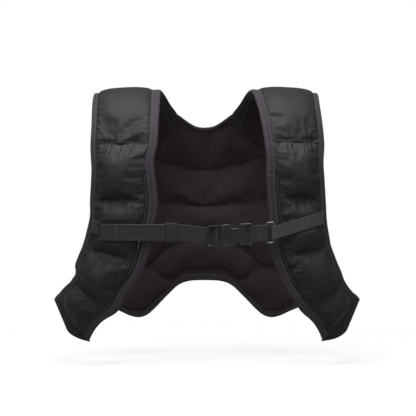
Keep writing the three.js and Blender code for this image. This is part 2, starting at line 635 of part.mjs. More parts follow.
keeperShape.holes.push(outline(keeperHole.height, keeperHole.depth, GAP));
const keeper = new THREE.ExtrudeGeometry(
  keeperShape,
  { depth: KEEPER_LENGTH, bevelEnabled: false, curveSegments: 3 },
);
keeper.rotateY(Math.PI / 2);
keeper.translate(sleeveEnd + GAP, strapY, strapHeight);
add('strap_keeper', keeper, ELASTIC);

// Solids for cutting and joining the plastic pieces
const solid = (geometry) => {
  const bare = geometry.clone();
  bare.deleteAttribute('normal');
  bare.deleteAttribute('uv');
  const merged = mergeVertices(bare, 1e-4);
  return new wasm.Manifold(new wasm.Mesh({
    numProp: 3,
    vertProperties: new Float32Array(merged.getAttribute('position').array),
    triVerts: new Uint32Array(merged.index.array),
  }));
};
const shapeOf = (manifold) => {
  const mesh = manifold.getMesh();
  const geometry = new THREE.BufferGeometry();
  geometry.setAttribute('position', new THREE.Float32BufferAttribute(mesh.vertProperties, 3));
  geometry.setIndex([...mesh.triVerts]);
  return geometry;
};
// A flat plate standing in the strap's plane, and a block, both placed by their middle
const buckleMiddle = WEBBING_THICKNESS / 2 + GAP + BAR_THICKNESS / 2;
const plate = (shape, thickness, x) => {
  const settings = { depth: thickness, bevelEnabled: false, curveSegments: 4 };
  const geometry = new THREE.ExtrudeGeometry(shape, settings);
  geometry.translate(0, 0, -thickness / 2);
  geometry.rotateX(Math.PI / 2);
  geometry.translate(x, strapY - buckleMiddle, strapHeight);
  return solid(geometry);
};
const block = (fromX, toX, depth, height, front = 0) => {
  const geometry = box(toX - fromX, depth, height);
  geometry.translate((fromX + toX) / 2, strapY - buckleMiddle - front, strapHeight);
  return solid(geometry);
};

// Male half: a frame with a bar for the webbing, and prongs with release tabs that enter the female half
const joint = BUCKLE_ACROSS * HALF_WIDTH;
const slotHeight = WEBBING_WIDTH + 4 * GAP;
const slotWidth = WEBBING_THICKNESS + 2 * GAP;
const barRight = joint - MALE_BODY - slotWidth;
const barLeft = barRight - BUCKLE_BAR;
const maleLeft = joint - MALE_LENGTH;
const ringLeft = RING_ACROSS * HALF_WIDTH - RING_LENGTH / 2;
const ringRight = ringLeft + RING_LENGTH;
// The strap sags from the keeper to the male half, and rises evenly from there to the ring
const strapStart = sleeveEnd + GAP;
const keeperEnd = strapStart + KEEPER_LENGTH + TAIL_CLEAR;
const sagging = (geometry) => {
  const position = geometry.getAttribute('position');
  for (let i = 0; i < position.count; i += 1) {
    const x = position.getX(i);
    const falling = (x - keeperEnd) / (maleLeft - keeperEnd);
    const rising = (ringRight - x) / (ringRight - maleLeft);
    position.setZ(i, position.getZ(i) - STRAP_SAG * Math.max(Math.min(falling, rising, 1), 0));
  }
  return geometry;
};
const prongs = new THREE.Shape();
const prongHalf = PRONG_SPAN / 2;
const dipFrom = FEMALE_LENGTH * DIP_FROM;
const dipTo = FEMALE_LENGTH * DIP_TO;
const tabFrom = GAP + dipFrom + TAB_CLEAR;
const tabPeak = tabFrom + TAB_RISE / 2;
prongs.moveTo(-MALE_BODY / 2, -prongHalf);
prongs.lineTo(tabFrom, -prongHalf);
prongs.lineTo(tabPeak, -prongHalf - TAB_RISE);
prongs.lineTo(PRONG_LENGTH * 0.85, -prongHalf);
prongs.lineTo(PRONG_LENGTH, -prongHalf + PRONG_WIDTH * 0.7);
prongs.lineTo(PRONG_LENGTH * 0.9, -prongHalf + PRONG_WIDTH);
prongs.lineTo(0, -prongHalf + PRONG_WIDTH);
prongs.lineTo(0, -PRONG_WIDTH / 2);
prongs.lineTo(PRONG_LENGTH * 0.8, -PRONG_WIDTH / 2);
prongs.lineTo(PRONG_LENGTH * 0.8, PRONG_WIDTH / 2);
prongs.lineTo(0, PRONG_WIDTH / 2);
prongs.lineTo(0, prongHalf - PRONG_WIDTH);
prongs.lineTo(PRONG_LENGTH * 0.9, prongHalf - PRONG_WIDTH);
prongs.lineTo(PRONG_LENGTH, prongHalf - PRONG_WIDTH * 0.7);
prongs.lineTo(PRONG_LENGTH * 0.85, prongHalf);
prongs.lineTo(tabPeak, prongHalf + TAB_RISE);
prongs.lineTo(tabFrom, prongHalf);
prongs.lineTo(-MALE_BODY / 2, prongHalf);
const maleShape = outline(MALE_LENGTH, BUCKLE_HEIGHT - JOINT_CORNER, RING_CORNER);
const male = plate(maleShape, MALE_THICKNESS, joint - MALE_LENGTH / 2)
  .subtract(block(maleLeft + BUCKLE_RIM, joint - MALE_BODY, BUCKLE_THICKNESS, slotHeight))
  .subtract(block(maleLeft - 1, maleLeft + BUCKLE_RIM + 1, BUCKLE_THICKNESS, slotHeight))
  .add(block(maleLeft, maleLeft + BUCKLE_RIM, BAR_THICKNESS, slotHeight + 2))
  .add(block(barLeft, barRight, BAR_THICKNESS, slotHeight + 2))
  .add(plate(prongs, PRONG_THICKNESS, joint));
add('buckle_male', sagging(shapeOf(male)), ACETAL);

// Female half: a flat sleeve with a dip at each side, where the prongs are pressed, and a bar at its end
const femaleLeft = joint + GAP;
const femaleRight = femaleLeft + FEMALE_LENGTH;
const femaleBar = femaleRight - FEMALE_BAR;
const femaleSlot = femaleBar - slotWidth - 2 * GAP;
const dipped = new THREE.Shape();
const femaleHalf = BUCKLE_HEIGHT / 2;
dipped.moveTo(0, -femaleHalf + JOINT_CORNER);
dipped.quadraticCurveTo(0, -femaleHalf, JOINT_CORNER, -femaleHalf);
dipped.lineTo(dipFrom, -femaleHalf);
dipped.lineTo(dipFrom + DIP_SLOPE, -femaleHalf + DIP_DEPTH);
dipped.lineTo(dipTo - DIP_SLOPE, -femaleHalf + DIP_DEPTH);
dipped.lineTo(dipTo, -femaleHalf);
dipped.lineTo(FEMALE_LENGTH - BUCKLE_CORNER, -femaleHalf);
dipped.quadraticCurveTo(FEMALE_LENGTH, -femaleHalf, FEMALE_LENGTH, -femaleHalf + BUCKLE_CORNER);
dipped.lineTo(FEMALE_LENGTH, femaleHalf - BUCKLE_CORNER);
dipped.quadraticCurveTo(FEMALE_LENGTH, femaleHalf, FEMALE_LENGTH - BUCKLE_CORNER, femaleHalf);
dipped.lineTo(dipTo, femaleHalf);
dipped.lineTo(dipTo - DIP_SLOPE, femaleHalf - DIP_DEPTH);
dipped.lineTo(dipFrom + DIP_SLOPE, femaleHalf - DIP_DEPTH);
dipped.lineTo(dipFrom, femaleHalf);
dipped.lineTo(JOINT_CORNER, femaleHalf);
dipped.quadraticCurveTo(0, femaleHalf, 0, femaleHalf - JOINT_CORNER);
const relief = (BUCKLE_THICKNESS - BAR_THICKNESS) / 2;
const prongRoom = femaleLeft + PRONG_LENGTH + 1;
const female = plate(dipped, BUCKLE_THICKNESS, femaleLeft)
  .subtract(block(femaleLeft - 1, prongRoom, PRONG_THICKNESS + 2 * GAP, PRONG_SPAN + 2 * GAP))
  .subtract(block(femaleSlot, femaleBar, BUCKLE_THICKNESS + 2, slotHeight))
  .subtract(block(femaleSlot, femaleRight + 1, relief, slotHeight, BAR_THICKNESS / 2 + relief / 2))
  .subtract(block(femaleSlot, femaleRight + 1, relief, slotHeight, -BAR_THICKNESS / 2 - relief / 2));
add('buckle_female', sagging(shapeOf(female)), ACETAL);

// Ring that joins the strap to the right anchor tape
const ringShape = outline(RING_LENGTH, slotHeight + 2 * RING_BAR, RING_CORNER);
ringShape.holes.push(outline(RING_LENGTH - 2 * RING_BAR, slotHeight, 0.5));
const ringPlate = plate(ringShape, BAR_THICKNESS, (ringLeft + ringRight) / 2);
add('square_ring', sagging(shapeOf(ringPlate)), ACETAL);

// Webbing passes round a bar with a clearance, in front and behind
const wrap = BAR_THICKNESS / 2 + GAP + WEBBING_THICKNESS / 2;
const beside = GAP + WEBBING_THICKNESS / 2;
const layer = (WEBBING_THICKNESS + GAP) / 2;
add('chest_strap_left', sagging(strip([
  ahead(strapStart, 0),
  ahead(keeperEnd, 0),
  ahead(maleLeft, 0),
  ahead(barLeft - beside, 0),
  ahead(barLeft - beside, buckleMiddle + wrap),
  ahead(barRight + beside, buckleMiddle + wrap),
  ahead(barRight + beside, -2 * layer),
  ahead(maleLeft, -2 * layer),
  ahead(keeperEnd, -2 * layer),
], WEBBING_WIDTH, WEBBING_THICKNESS)), WEBBING);

const spanMiddle = (femaleRight + ringLeft) / 2;
add('chest_strap_right', sagging(strip([
  ahead(spanMiddle + RIGHT_TAIL, buckleMiddle - layer),
  ahead(femaleRight + BAR_TAPER, buckleMiddle - layer),
  ahead(femaleRight, buckleMiddle - wrap),
  ahead(femaleBar - beside, buckleMiddle - wrap),
  ahead(femaleBar - beside, buckleMiddle + wrap),
  ahead(femaleRight, buckleMiddle + wrap),
  ahead(femaleRight + BAR_TAPER, buckleMiddle + layer),
  ahead(ringLeft - BAR_TAPER, buckleMiddle + layer),
  ahead(ringLeft, buckleMiddle + wrap),
  ahead(ringLeft + RING_BAR + beside, buckleMiddle + wrap),
  ahead(ringLeft + RING_BAR + beside, buckleMiddle - wrap),
  ahead(ringLeft, buckleMiddle - wrap),
  ahead(ringLeft - BAR_TAPER / 2, buckleMiddle - layer - GAP),
], WEBBING_WIDTH, WEBBING_THICKNESS)), WEBBING);

const tapeWrap = BAR_THICKNESS / 2 + GAP + ELASTIC_THICKNESS / 2;
const tapeBeside = GAP + ELASTIC_THICKNESS / 2;
add('anchor_tape_right', leaning(strip([
  ahead(ringRight + 2 * BAR_TAPER, buckleMiddle - tapeWrap),
  ahead(ringRight - RING_BAR - tapeBeside, buckleMiddle - tapeWrap),
  ahead(ringRight - RING_BAR - tapeBeside, buckleMiddle + tapeWrap),
  ahead(ringRight + BAR_TAPER, buckleMiddle + tapeWrap),
  ...RIGHT_ANCHOR_STEPS.map((step) => crest(STRAPS.right, step, ELASTIC_THICKNESS)),
], ANCHOR_WIDTH, ELASTIC_THICKNESS), ringRight, 1), ELASTIC);

// The slider of the left zip, with its pull hanging along the teeth
const sliderShape = new THREE.Shape();
const [sliderHalf, pullHalf] = [SLIDER_WIDTH / 2, SLIDER_WIDTH / 4];
sliderShape.moveTo(-sliderHalf, 0);
sliderShape.lineTo(sliderHalf, 0);
sliderShape.lineTo(sliderHalf * 0.8, SLIDER_LENGTH);
sliderShape.lineTo(pullHalf, SLIDER_LENGTH);
sliderShape.lineTo(pullHalf, SLIDER_LENGTH + PULL_LENGTH);
sliderShape.lineTo(-pullHalf, SLIDER_LENGTH + PULL_LENGTH);
sliderShape.lineTo(-pullHalf, SLIDER_LENGTH);
sliderShape.lineTo(-sliderHalf * 0.8, SLIDER_LENGTH);
const slider = new THREE.ExtrudeGeometry(sliderShape, { depth: SLIDER_THICKNESS, bevelEnabled: false });
const zipShare = (at) => (BINDING_WIDTH + GAP + ZIP_WIDTH / 2) / STRAPS.left.width(at);
const zipMiddle = (at) => STRAPS.left.point(at, zipShare(at));
const teeth = zipMiddle(SLIDER_ROW);
const onward = zipMiddle(SLIDER_ROW + 0.5);
const sliderOut = outward(teeth.turn, teeth.run);
const sliderAt = onBody(teeth.turn, teeth.run);
const sliderDown = onBody(onward.turn, onward.run).sub(sliderAt).projectOnPlane(sliderOut).normalize();
const sliderAcross = sliderDown.clone().cross(sliderOut);
slider.applyMatrix4(new THREE.Matrix4().makeBasis(sliderAcross, sliderDown, sliderOut));
sliderAt.addScaledVector(sliderOut, ZIP_THICKNESS / 2 + GAP);
slider.translate(sliderAt.x, sliderAt.y, sliderAt.z);
add('zip_slider', slider, ACETAL);

export default group;
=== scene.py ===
import math

import bmesh
import bpy
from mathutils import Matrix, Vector, noise


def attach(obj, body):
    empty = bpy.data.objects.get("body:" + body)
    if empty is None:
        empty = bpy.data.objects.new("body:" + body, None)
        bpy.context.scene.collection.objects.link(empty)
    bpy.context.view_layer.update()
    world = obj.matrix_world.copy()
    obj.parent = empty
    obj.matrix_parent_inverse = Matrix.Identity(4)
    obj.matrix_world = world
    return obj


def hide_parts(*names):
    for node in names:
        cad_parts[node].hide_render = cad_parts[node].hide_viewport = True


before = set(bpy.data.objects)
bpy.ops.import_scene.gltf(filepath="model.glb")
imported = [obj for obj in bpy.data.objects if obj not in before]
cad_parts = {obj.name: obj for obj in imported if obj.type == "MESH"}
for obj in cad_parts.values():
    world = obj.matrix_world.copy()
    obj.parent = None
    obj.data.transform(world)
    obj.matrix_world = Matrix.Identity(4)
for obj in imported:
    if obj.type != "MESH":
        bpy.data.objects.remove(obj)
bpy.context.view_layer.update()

# Camera and studio. The vest is seen level from dead in front, by a long lens 2.4 m away, against a white
# sweep. A wide softbox above and two at the sides light it, and a faint oval shadow lies on the floor below.
CAMERA_DISTANCE = 2.4
CAMERA_HEIGHT = -0.1676
VIEW_WIDTH = 0.6365
FLOOR_HEIGHT = -0.402
ROOM_LIGHT = 0.14


def add_object(name, data):
    """A new object in the scene."""
    made = bpy.data.objects.new(name, data)
    bpy.context.collection.objects.link(made)
    return made


camera_data = bpy.data.cameras.new("camera")
camera_data.sensor_width = 36
camera_data.angle = 2 * math.atan(VIEW_WIDTH / 2 / CAMERA_DISTANCE)
camera = add_object("camera", camera_data)
camera.location = (0.0015, -CAMERA_DISTANCE, CAMERA_HEIGHT)
camera.rotation_euler = (math.pi / 2, 0, 0)
bpy.context.scene.camera = camera
bpy.context.scene.view_settings.view_transform = "Standard"


def add_node(tree, kind, settings=None, values=None, links=None):
    """Adds a node, with its settings by attribute, and its values and the sockets that feed it by input."""
    made = tree.nodes.new(kind)
    for name, value in (settings or {}).items():
        setattr(made, name, value)
    for name, value in (values or {}).items():
        made.inputs[name].default_value = value
    for name, socket in (links or {}).items():
        tree.links.new(socket, made.inputs[name])
    return made


def add_material(name):
    """A new material and its empty node tree."""
    made = bpy.data.materials.new(name)
    made.use_nodes = True
    made.node_tree.nodes.clear()
    return made, made.node_tree


def srgb(text):
    """The linear colour of an sRGB hex value."""
    parts = [int(text[i:i + 2], 16) / 255 for i in (1, 3, 5)]
    return [p / 12.92 if p <= 0.04045 else ((p + 0.055) / 1.055) ** 2.4 for p in parts] + [1.0]


world = bpy.data.worlds.new("white sweep")
world.use_nodes = True
sky = world.node_tree
sky.nodes.clear()
seen = add_node(sky, "ShaderNodeBackground", values={"Color": (1, 1, 1, 1), "Strength": 1.0})
lit = add_node(sky, "ShaderNodeBackground", values={"Color": (1, 1, 1, 1), "Strength": ROOM_LIGHT})
ray = add_node(sky, "ShaderNodeLightPath")
either = add_node(sky, "ShaderNodeMixShader",
                  links={"Fac": ray.outputs["Is Camera Ray"], 1: lit.outputs[0], 2: seen.outputs[0]})
add_node(sky, "ShaderNodeOutputWorld", links={"Surface": either.outputs[0]})
bpy.context.scene.world = world


def softbox(name, place, aim, size, power):
    """A square studio light that faces a point."""
    data = bpy.data.lights.new(name, "AREA")
    data.size = size
    data.energy = power
    light = add_object(name, data)
    light.location = place
    light.rotation_euler = (Vector(aim) - Vector(place)).to_track_quat("-Z", "Y").to_euler()


softbox("key above", (-0.15, -0.5, 1.15), (0, -0.05, -0.15), 1.2, 34)
softbox("fill from the left", (-1.5, -1.4, 0.25), (0, 0, -0.2), 0.9, 6)
softbox("fill from the right", (1.5, -1.5, 0.25), (0, 0, -0.2), 0.9, 8)

painted_sweep, sweep = add_material("painted white sweep")
SWEEP_FADES = (0.45, 0.85)
paint = add_node(sweep, "ShaderNodeBsdfDiffuse", values={"Color": (0.2, 0.2, 0.2, 1)})
glow = add_node(sweep, "ShaderNodeEmission", values={"Color": (1, 1, 1, 1), "Strength": 0.82})
shown = add_node(sweep, "ShaderNodeAddShader", links={0: paint.outputs[0], 1: glow.outputs[0]})
bounce = add_node(sweep, "ShaderNodeBsdfDiffuse", values={"Color": (0.3, 0.3, 0.3, 1)})
sweep_ray = add_node(sweep, "ShaderNodeLightPath")
sweep_side = add_node(sweep, "ShaderNodeMixShader", links={
    "Fac": sweep_ray.outputs["Is Camera Ray"], 1: bounce.outputs[0], 2: shown.outputs[0]})
floor_place = add_node(sweep, "ShaderNodeTexCoord")
from_middle = add_node(sweep, "ShaderNodeVectorMath", {"operation": "LENGTH"},
                       links={"Vector": floor_place.outputs["Object"]})
fade = add_node(sweep, "ShaderNodeMapRange", values={"From Min": SWEEP_FADES[0], "From Max": SWEEP_FADES[1]},
                links={"Value": from_middle.outputs["Value"]})
clear = add_node(sweep, "ShaderNodeBsdfTransparent")
faded = add_node(sweep, "ShaderNodeMixShader",
                 links={"Fac": fade.outputs[0], 1: sweep_side.outputs[0], 2: clear.outputs[0]})
add_node(sweep, "ShaderNodeOutputMaterial", links={"Surface": faded.outputs[0]})

floor_mesh = bpy.data.meshes.new("floor")
floor_mesh.from_pydata([(x, y, 0) for x, y in ((-1, -1), (1, -1), (1, 1), (-1, 1))], [], [(0, 1, 2, 3)])
floor_mesh.materials.append(painted_sweep)
floor = add_object("floor", floor_mesh)
floor.location.z = FLOOR_HEIGHT

# Shell pads. Two cloth faces are quilted with heavy filling between them: black nylon outside, brown-black
# lining inside. On each side a long strap of pillows runs from the yoke, over the shoulder, to the tip of the
# wing in front. It is sewn across at each seam, so it swells between seams and puckers at them.
HALF_WIDTH = 0.232
HALF_DEPTH = 0.110
SHOULDER_RISE = 0.147
SHOULDER_SLOPE = 0.0136
STRAIGHT_DROP = 0.235
SIDE_DRAW_IN = 0.0256
FRONT_DRAW_IN = 0.012
SIDE_DRAW_FROM = 0.74
FRONT_DRAW_FROM = 0.36
ROUNDNESS = 2.5
FRONT_PAD = 0.027
SEAM_HALF = 0.002
BINDING_WIDTH = 0.011
ZIP_WIDTH = 0.006
CLEARANCE = 0.0003
SEAT_ACROSS = 0.52
SHOULDER_RUN = math.pi / 2 * math.hypot(HALF_DEPTH, SHOULDER_RISE) / math.sqrt(2)
RUN = SHOULDER_RUN + STRAIGHT_DROP

# Each row gives the inner and the outer edge of the strap, as a share of the half width and of the run, how
# far the row sags, whether a seam crosses there, and how full the pillow below it is.
STRAP_COLUMNS = ("inner_across", "inner_run", "outer_across", "outer_run", "bow", "seam", "full")
LEFT_ROWS = [dict(zip(STRAP_COLUMNS, row)) for row in (
    (-0.200, -0.204, -0.735, -0.300, 0.09, 1, 0.65),
    (-0.258, -0.130, -0.740, -0.150, 0.01, 1, 0.62),
    (-0.302, 0.000, -0.742, 0.000, 0, 0, 0),
    (-0.303, 0.146, -0.744, 0.146, 0, 0, 0),
    (-0.306, 0.252, -0.741, 0.255, 0, 0, 0),
    (-0.313, 0.343, -0.744, 0.337, 0, 1, 0.95),
    (-0.334, 0.393, -0.739, 0.388, 0, 0, 0),
    (-0.324, 0.448, -0.735, 0.428, 0, 0, 0),
    (-0.309, 0.520, -0.744, 0.520, 0, 1, 0.9),
    (-0.321, 0.580, -0.744, 0.570, 0, 0, 0),
    (-0.347, 0.647, -0.761, 0.614, 0, 0, 0),
    (-0.381, 0.727, -0.791, 0.671, 0, 1, 1),
    (-0.436, 0.787, -0.841, 0.736, 0, 0, 0),
    (-0.500, 0.831, -0.838, 0.760, 0, 0, 0),
    (-0.577, 0.892, -0.855, 0.787, 0, 1, 0.8),
    (-0.722, 0.935, -0.900, 0.808, 0, 0, 0),
    (-0.850, 0.998, -0.956, 0.840, 0, 1, 0),
)]
RIGHT_ROWS = [dict(zip(STRAP_COLUMNS, row)) for row in (
    (0.170, -0.204, 0.705, -0.300, 0.09, 1, 0.65),
    (0.232, -0.130, 0.718, -0.150, 0.01, 1, 0.62),
    (0.282, 0.000, 0.728, 0.000, 0, 0, 0),
    (0.310, 0.131, 0.730, 0.147, 0, 0, 0),
    (0.341, 0.242, 0.739, 0.237, 0, 0, 0),
    (0.364, 0.333, 0.749, 0.333, 0, 1, 0.95),
    (0.376, 0.392, 0.742, 0.398, 0, 0, 0),
    (0.375, 0.448, 0.748, 0.453, 0, 0, 0),
    (0.381, 0.507, 0.756, 0.523, 0, 1, 0.9),
    (0.394, 0.580, 0.764, 0.594, 0, 0, 0),
    (0.397, 0.647, 0.781, 0.648, 0, 0, 0),
    (0.410, 0.713, 0.791, 0.675, 0, 1, 1),
    (0.448, 0.760, 0.831, 0.729, 0, 0, 0),
    (0.512, 0.831, 0.858, 0.760, 0, 0, 0),
    (0.609, 0.892, 0.879, 0.791, 0, 1, 0.8),
    (0.722, 0.935, 0.914, 0.819, 0, 0, 0),
    (0.830, 0.996, 0.947, 0.838, 0, 1, 0),
)]
FRONT_SEAM_ROW = 5
# The rows between which the zip runs, and the rows that its width takes to fade in and out
ZIP_ROWS = (6.5, 13.7)
ZIP_FADES = (0.5, 0.7)
# Makes the deepest point of a row's sag 1
BOW_PEAK = 2.6
SWELL_POWER = 0.48
CROWN_POWER = 3.2


def turn_of(across):
    """The angle round the body of a share of its half width: 0 in front, a quarter turn at the side."""
    return math.copysign(math.asin(min(abs(across), 1) ** (ROUNDNESS / 2)), across)


def rounded(value):
    return math.copysign(abs(value) ** (2 / ROUNDNESS), value)


def body_form(turn, run_share):
    """The surface that the padding follows, before it is lowered to the origin."""
    angle = math.pi - abs(turn) if run_share < 0 else abs(turn)
    run = abs(run_share) * RUN
    arch = min(run / SHOULDER_RUN, 1) * math.pi / 2
    straight = max(run - SHOULDER_RUN, 0)
    low = straight / STRAIGHT_DROP
    side_draw = max(low - SIDE_DRAW_FROM, 0) / (1 - SIDE_DRAW_FROM)
    front_draw = max(low - FRONT_DRAW_FROM, 0) / (1 - FRONT_DRAW_FROM)
    half_width = HALF_WIDTH - SIDE_DRAW_IN * side_draw
    half_depth = HALF_DEPTH - FRONT_DRAW_IN * front_draw ** 2 * max(math.cos(angle), 0)
    out = rounded(math.sin(angle))
    rise = SHOULDER_RISE - SHOULDER_SLOPE * out
    return Vector((
        math.copysign(half_width * out, turn),
        -half_depth * rounded(math.cos(angle)) * math.sin(arch),
        rise * math.cos(arch) - straight,
    ))


SEAT_HEIGHT = body_form(turn_of(SEAT_ACROSS), 0).z - FRONT_PAD * LEFT_ROWS[1]["full"] / 2


def on_body(place):
    """The point of a place on the body, which is (turn, run)."""
    point = body_form(*place)
    point.z -= SEAT_HEIGHT
    return point


def outward(place):
    turn, run = place
    step = 0.002
    along = on_body((turn + step, run)) - on_body((turn - step, run))
    down = on_body((turn, run + step)) - on_body((turn, run - step))
    return down.cross(along).normalized()


def mix(a, b, share):
    return tuple(p + (q - p) * share for p, q in zip(a, b))


def apart(a, b):
    return (on_body(a) - on_body(b)).length


def pull(a, b, length):
    """The place that lies a length from a on the way to b."""
    return mix(a, b, length / apart(a, b))


def smooth_through(points, at):
    """A point on the even Catmull-Rom curve through points, at a place counted in points."""
    i = min(int(at), len(points) - 2)
    w = at - i
    before = points[i - 1] if i else mix(points[1], points[0], 2)
    after = points[i + 2] if i + 2 < len(points) else mix(points[-2], points[-1], 2)
    weights = (
        -0.5 * w ** 3 + w ** 2 - 0.5 * w,
        1.5 * w ** 3 - 2.5 * w ** 2 + 1,
        -1.5 * w ** 3 + 2 * w ** 2 + 0.5 * w,
        0.5 * w ** 3 - 0.5 * w ** 2,
    )
    chosen = (before, points[i], points[i + 1], after)
    return tuple(sum(k * p[axis] for k, p in zip(weights, chosen)) for axis in range(len(points[0])))


def lengths_along(points, distance):
    """The length along a line of points up to each of them."""
    reach = [0.0]
    for a, b in zip(points, points[1:]):
        reach.append(reach[-1] + distance(a, b))
    return reach


def even_places(reach, count):
    """Where even steps fall along a line: (the number of the point after, the share of the way to it)."""
    places = []
    j = 1
    for k in range(count + 1):
        goal = reach[-1] * k / count
        while j < len(reach) - 1 and reach[j] < goal:
            j += 1
        places.append((j, (goal - reach[j - 1]) / max(reach[j] - reach[j - 1], 1e-9)))
    return places


class PadStrap:
    """The long strap of pillows on one side. Places on it are a row of its table and a share across."""

    def __init__(self, rows):
        self.rows = rows
        self.sign = -1 if rows[0]["outer_across"] < 0 else 1
        self.inner = [(turn_of(row["inner_across"]), row["inner_run"]) for row in rows]
        self.outer = [(turn_of(row["outer_across"]), row["outer_run"]) for row in rows]
        self.last = len(rows) - 1
        self.seams = [i for i, row in enumerate(rows) if row["seam"]]

    def place(self, row, share):
        turn, run = mix(smooth_through(self.inner, row), smooth_through(self.outer, row), share)
        low = min(int(row), self.last - 1)
        bow = self.rows[low]["bow"] + (self.rows[low + 1]["bow"] - self.rows[low]["bow"]) * (row - low)
        return turn, run - bow * BOW_PEAK * math.sqrt(max(share, 0)) * (1 - share)

    def width(self, row):
        return apart(self.place(row, 0), self.place(row, 1))

    def zip_width(self, row):
        """Width of the zip beside the inner binding, which narrows to nothing at its two ends."""
        fades = min((row - ZIP_ROWS[0]) / ZIP_FADES[0], (ZIP_ROWS[1] - row) / ZIP_FADES[1])
        return ZIP_WIDTH * max(0, min(fades, 1))

    def across(self, row, step):
        """Share across a row of a step across its pillow, inside the bindings and the zip."""
        width = self.width(row)
        low = (BINDING_WIDTH + CLEARANCE + self.zip_width(row)) / width
        high = 1 - (BINDING_WIDTH + CLEARANCE) / width
        return low + (high - low) * step

    def grid_rows(self, first, final, spacing):
        """Rows about one spacing apart: (row, seam above it, share of the way to the next seam)."""
        rows = []
        tries = 60
        for start, end in zip(self.seams, self.seams[1:]):
            if start < first or end > final:
                continue
            fine = [start + (end - start) * k / tries for k in range(tries + 1)]
            reach = lengths_along([self.place(row, 0.5) for row in fine], apart)
            count = max(round(reach[-1] / spacing), 4)
            for k, (j, part) in enumerate(even_places(reach, count)[:-1]):
                rows.append((fine[j - 1] + (fine[j] - fine[j - 1]) * part, start, k / count))
        rows.append((float(final), rows[-1][1], 1.0))
        return rows


STRAPS = {"left": PadStrap(LEFT_ROWS), "right": PadStrap(RIGHT_ROWS)}


def swell(through):
    """How far a pillow has swollen, a share of the way from one seam to the next."""
    return max(math.sin(math.pi * through), 0) ** SWELL_POWER


def crown(across):
    """How far a pillow has swollen, a share of the way across it."""
    return 1 - abs(2 * across - 1) ** CROWN_POWER


def closed_mesh(name, points, faces, maps):
    """A smooth closed object whose faces look outward. maps gives a place for every point in each UV map."""
    mesh = bpy.data.meshes.new(name)
    mesh.from_pydata(points, [], faces)
    solid = bmesh.new()
    solid.from_mesh(mesh)
    if solid.calc_volume(signed=True) < 0:
        bmesh.ops.reverse_faces(solid, faces=solid.faces)
    solid.to_mesh(mesh)
    solid.free()
    for map_name, places in maps.items():
        layer = mesh.uv_layers.new(name=map_name)
        for loop in mesh.loops:
            layer.data[loop.index].uv = places[loop.vertex_index]
    mesh.shade_smooth()
    return add_object(name, mesh)


def two_faces(name, rows, materials):
    """A closed surface from rows of (middle, out, outer half, inner half, flat place, seam place).

    Its outer face takes the first material and its inner face the last. The flat place, in metres, goes in
    the UV map "cloth" and the seam place in "seams".
    """
    across = len(rows[0])
    points = []
    maps = {"cloth": [], "seams": []}
    for row in rows:
        for cells, sign in ((row, 1), (list(reversed(row)), -1)):
            for middle, out, outer, inner, flat, seam in cells:
                points.append(middle + out * (outer if sign > 0 else -inner))
                maps["cloth"].append(flat)
                maps["seams"].append(seam)
    ring = 2 * across
    faces = []
    inside = []
    for i in range(len(rows) - 1):
        for j in range(ring):
            k = (j + 1) % ring
            faces.append((i * ring + j, i * ring + k, (i + 1) * ring + k, (i + 1) * ring + j))
            inside.append(across <= j < ring - 1)
    last = (len(rows) - 1) * ring
    for j in range(across - 1):
        faces.append((ring - 1 - j, ring - 2 - j, j + 1, j))
        faces.append((last + j, last + j + 1, last + ring - 2 - j, last + ring - 1 - j))
        inside += [False, False]
    made = closed_mesh(name, points, faces, maps)
    for material in materials:
        made.data.materials.append(material)
    for polygon, within in zip(made.data.polygons, inside):
        polygon.material_index = len(materials) - 1 if within else 0
    return made


def bake(made):
    """Turns an object's modifiers into its plain mesh."""
    graph = bpy.context.evaluated_depsgraph_get()
    old = made.data
    made.data = bpy.data.meshes.new_from_object(
        made.evaluated_get(graph), preserve_all_data_layers=True, depsgraph=graph)
    made.modifiers.clear()
    bpy.data.meshes.remove(old)


def divide(made, levels):
    """Subdivides an object's surface smoothly and keeps the result as its mesh."""
    smooth = made.modifiers.new("divide", "SUBSURF")
    smooth.levels = levels
    smooth.render_levels = levels
    bake(made)


def swell_cloth(pads, growth, pressure, cap):
    """Swells pads by cloth simulation: the sewn points hold, and the cloth is a little too big for them."""
    frames = 20
    starts = {}
    for pad in pads:
        starts[pad.name] = [v.co.copy() for v in pad.data.vertices]
        group = pad.vertex_groups.new(name="sewn")
        group.add(list(pad["sewn"]), 1.0, "REPLACE")
        cloth = pad.modifiers.new("swell", "CLOTH")
        settings = cloth.settings
        settings.quality = 5
        settings.mass = 0.2
        settings.air_damping = 3
        settings.tension_stiffness = 15
        settings.compression_stiffness = 15
        settings.shear_stiffness = 5
        settings.bending_stiffness = 0.5
        settings.vertex_group_mass = "sewn"
        settings.shrink_min = -growth
        settings.use_pressure = True
        settings.uniform_pressure_force = pressure
        settings.effector_weights.gravity = 0
        cloth.collision_settings.use_collision = False
        cloth.point_cache.frame_end = frames
    for number in range(1, frames + 1):
        bpy.context.scene.frame_set(number)
    graph = bpy.context.evaluated_depsgraph_get()
    for pad in pads:
        swollen = [v.co.copy() for v in pad.evaluated_get(graph).data.vertices]
        pad.modifiers.clear()
        for vertex, start, end in zip(pad.data.vertices, starts[pad.name], swollen):
            move = end - start
            if move.length > cap:
                move *= cap / move.length
            vertex.co = start + move
        pad.vertex_groups.clear()
    bpy.context.scene.frame_set(1)


def wave_scale(period):
    """The Wave node's scale for bands one period apart."""
    return math.pi / (10 * period)


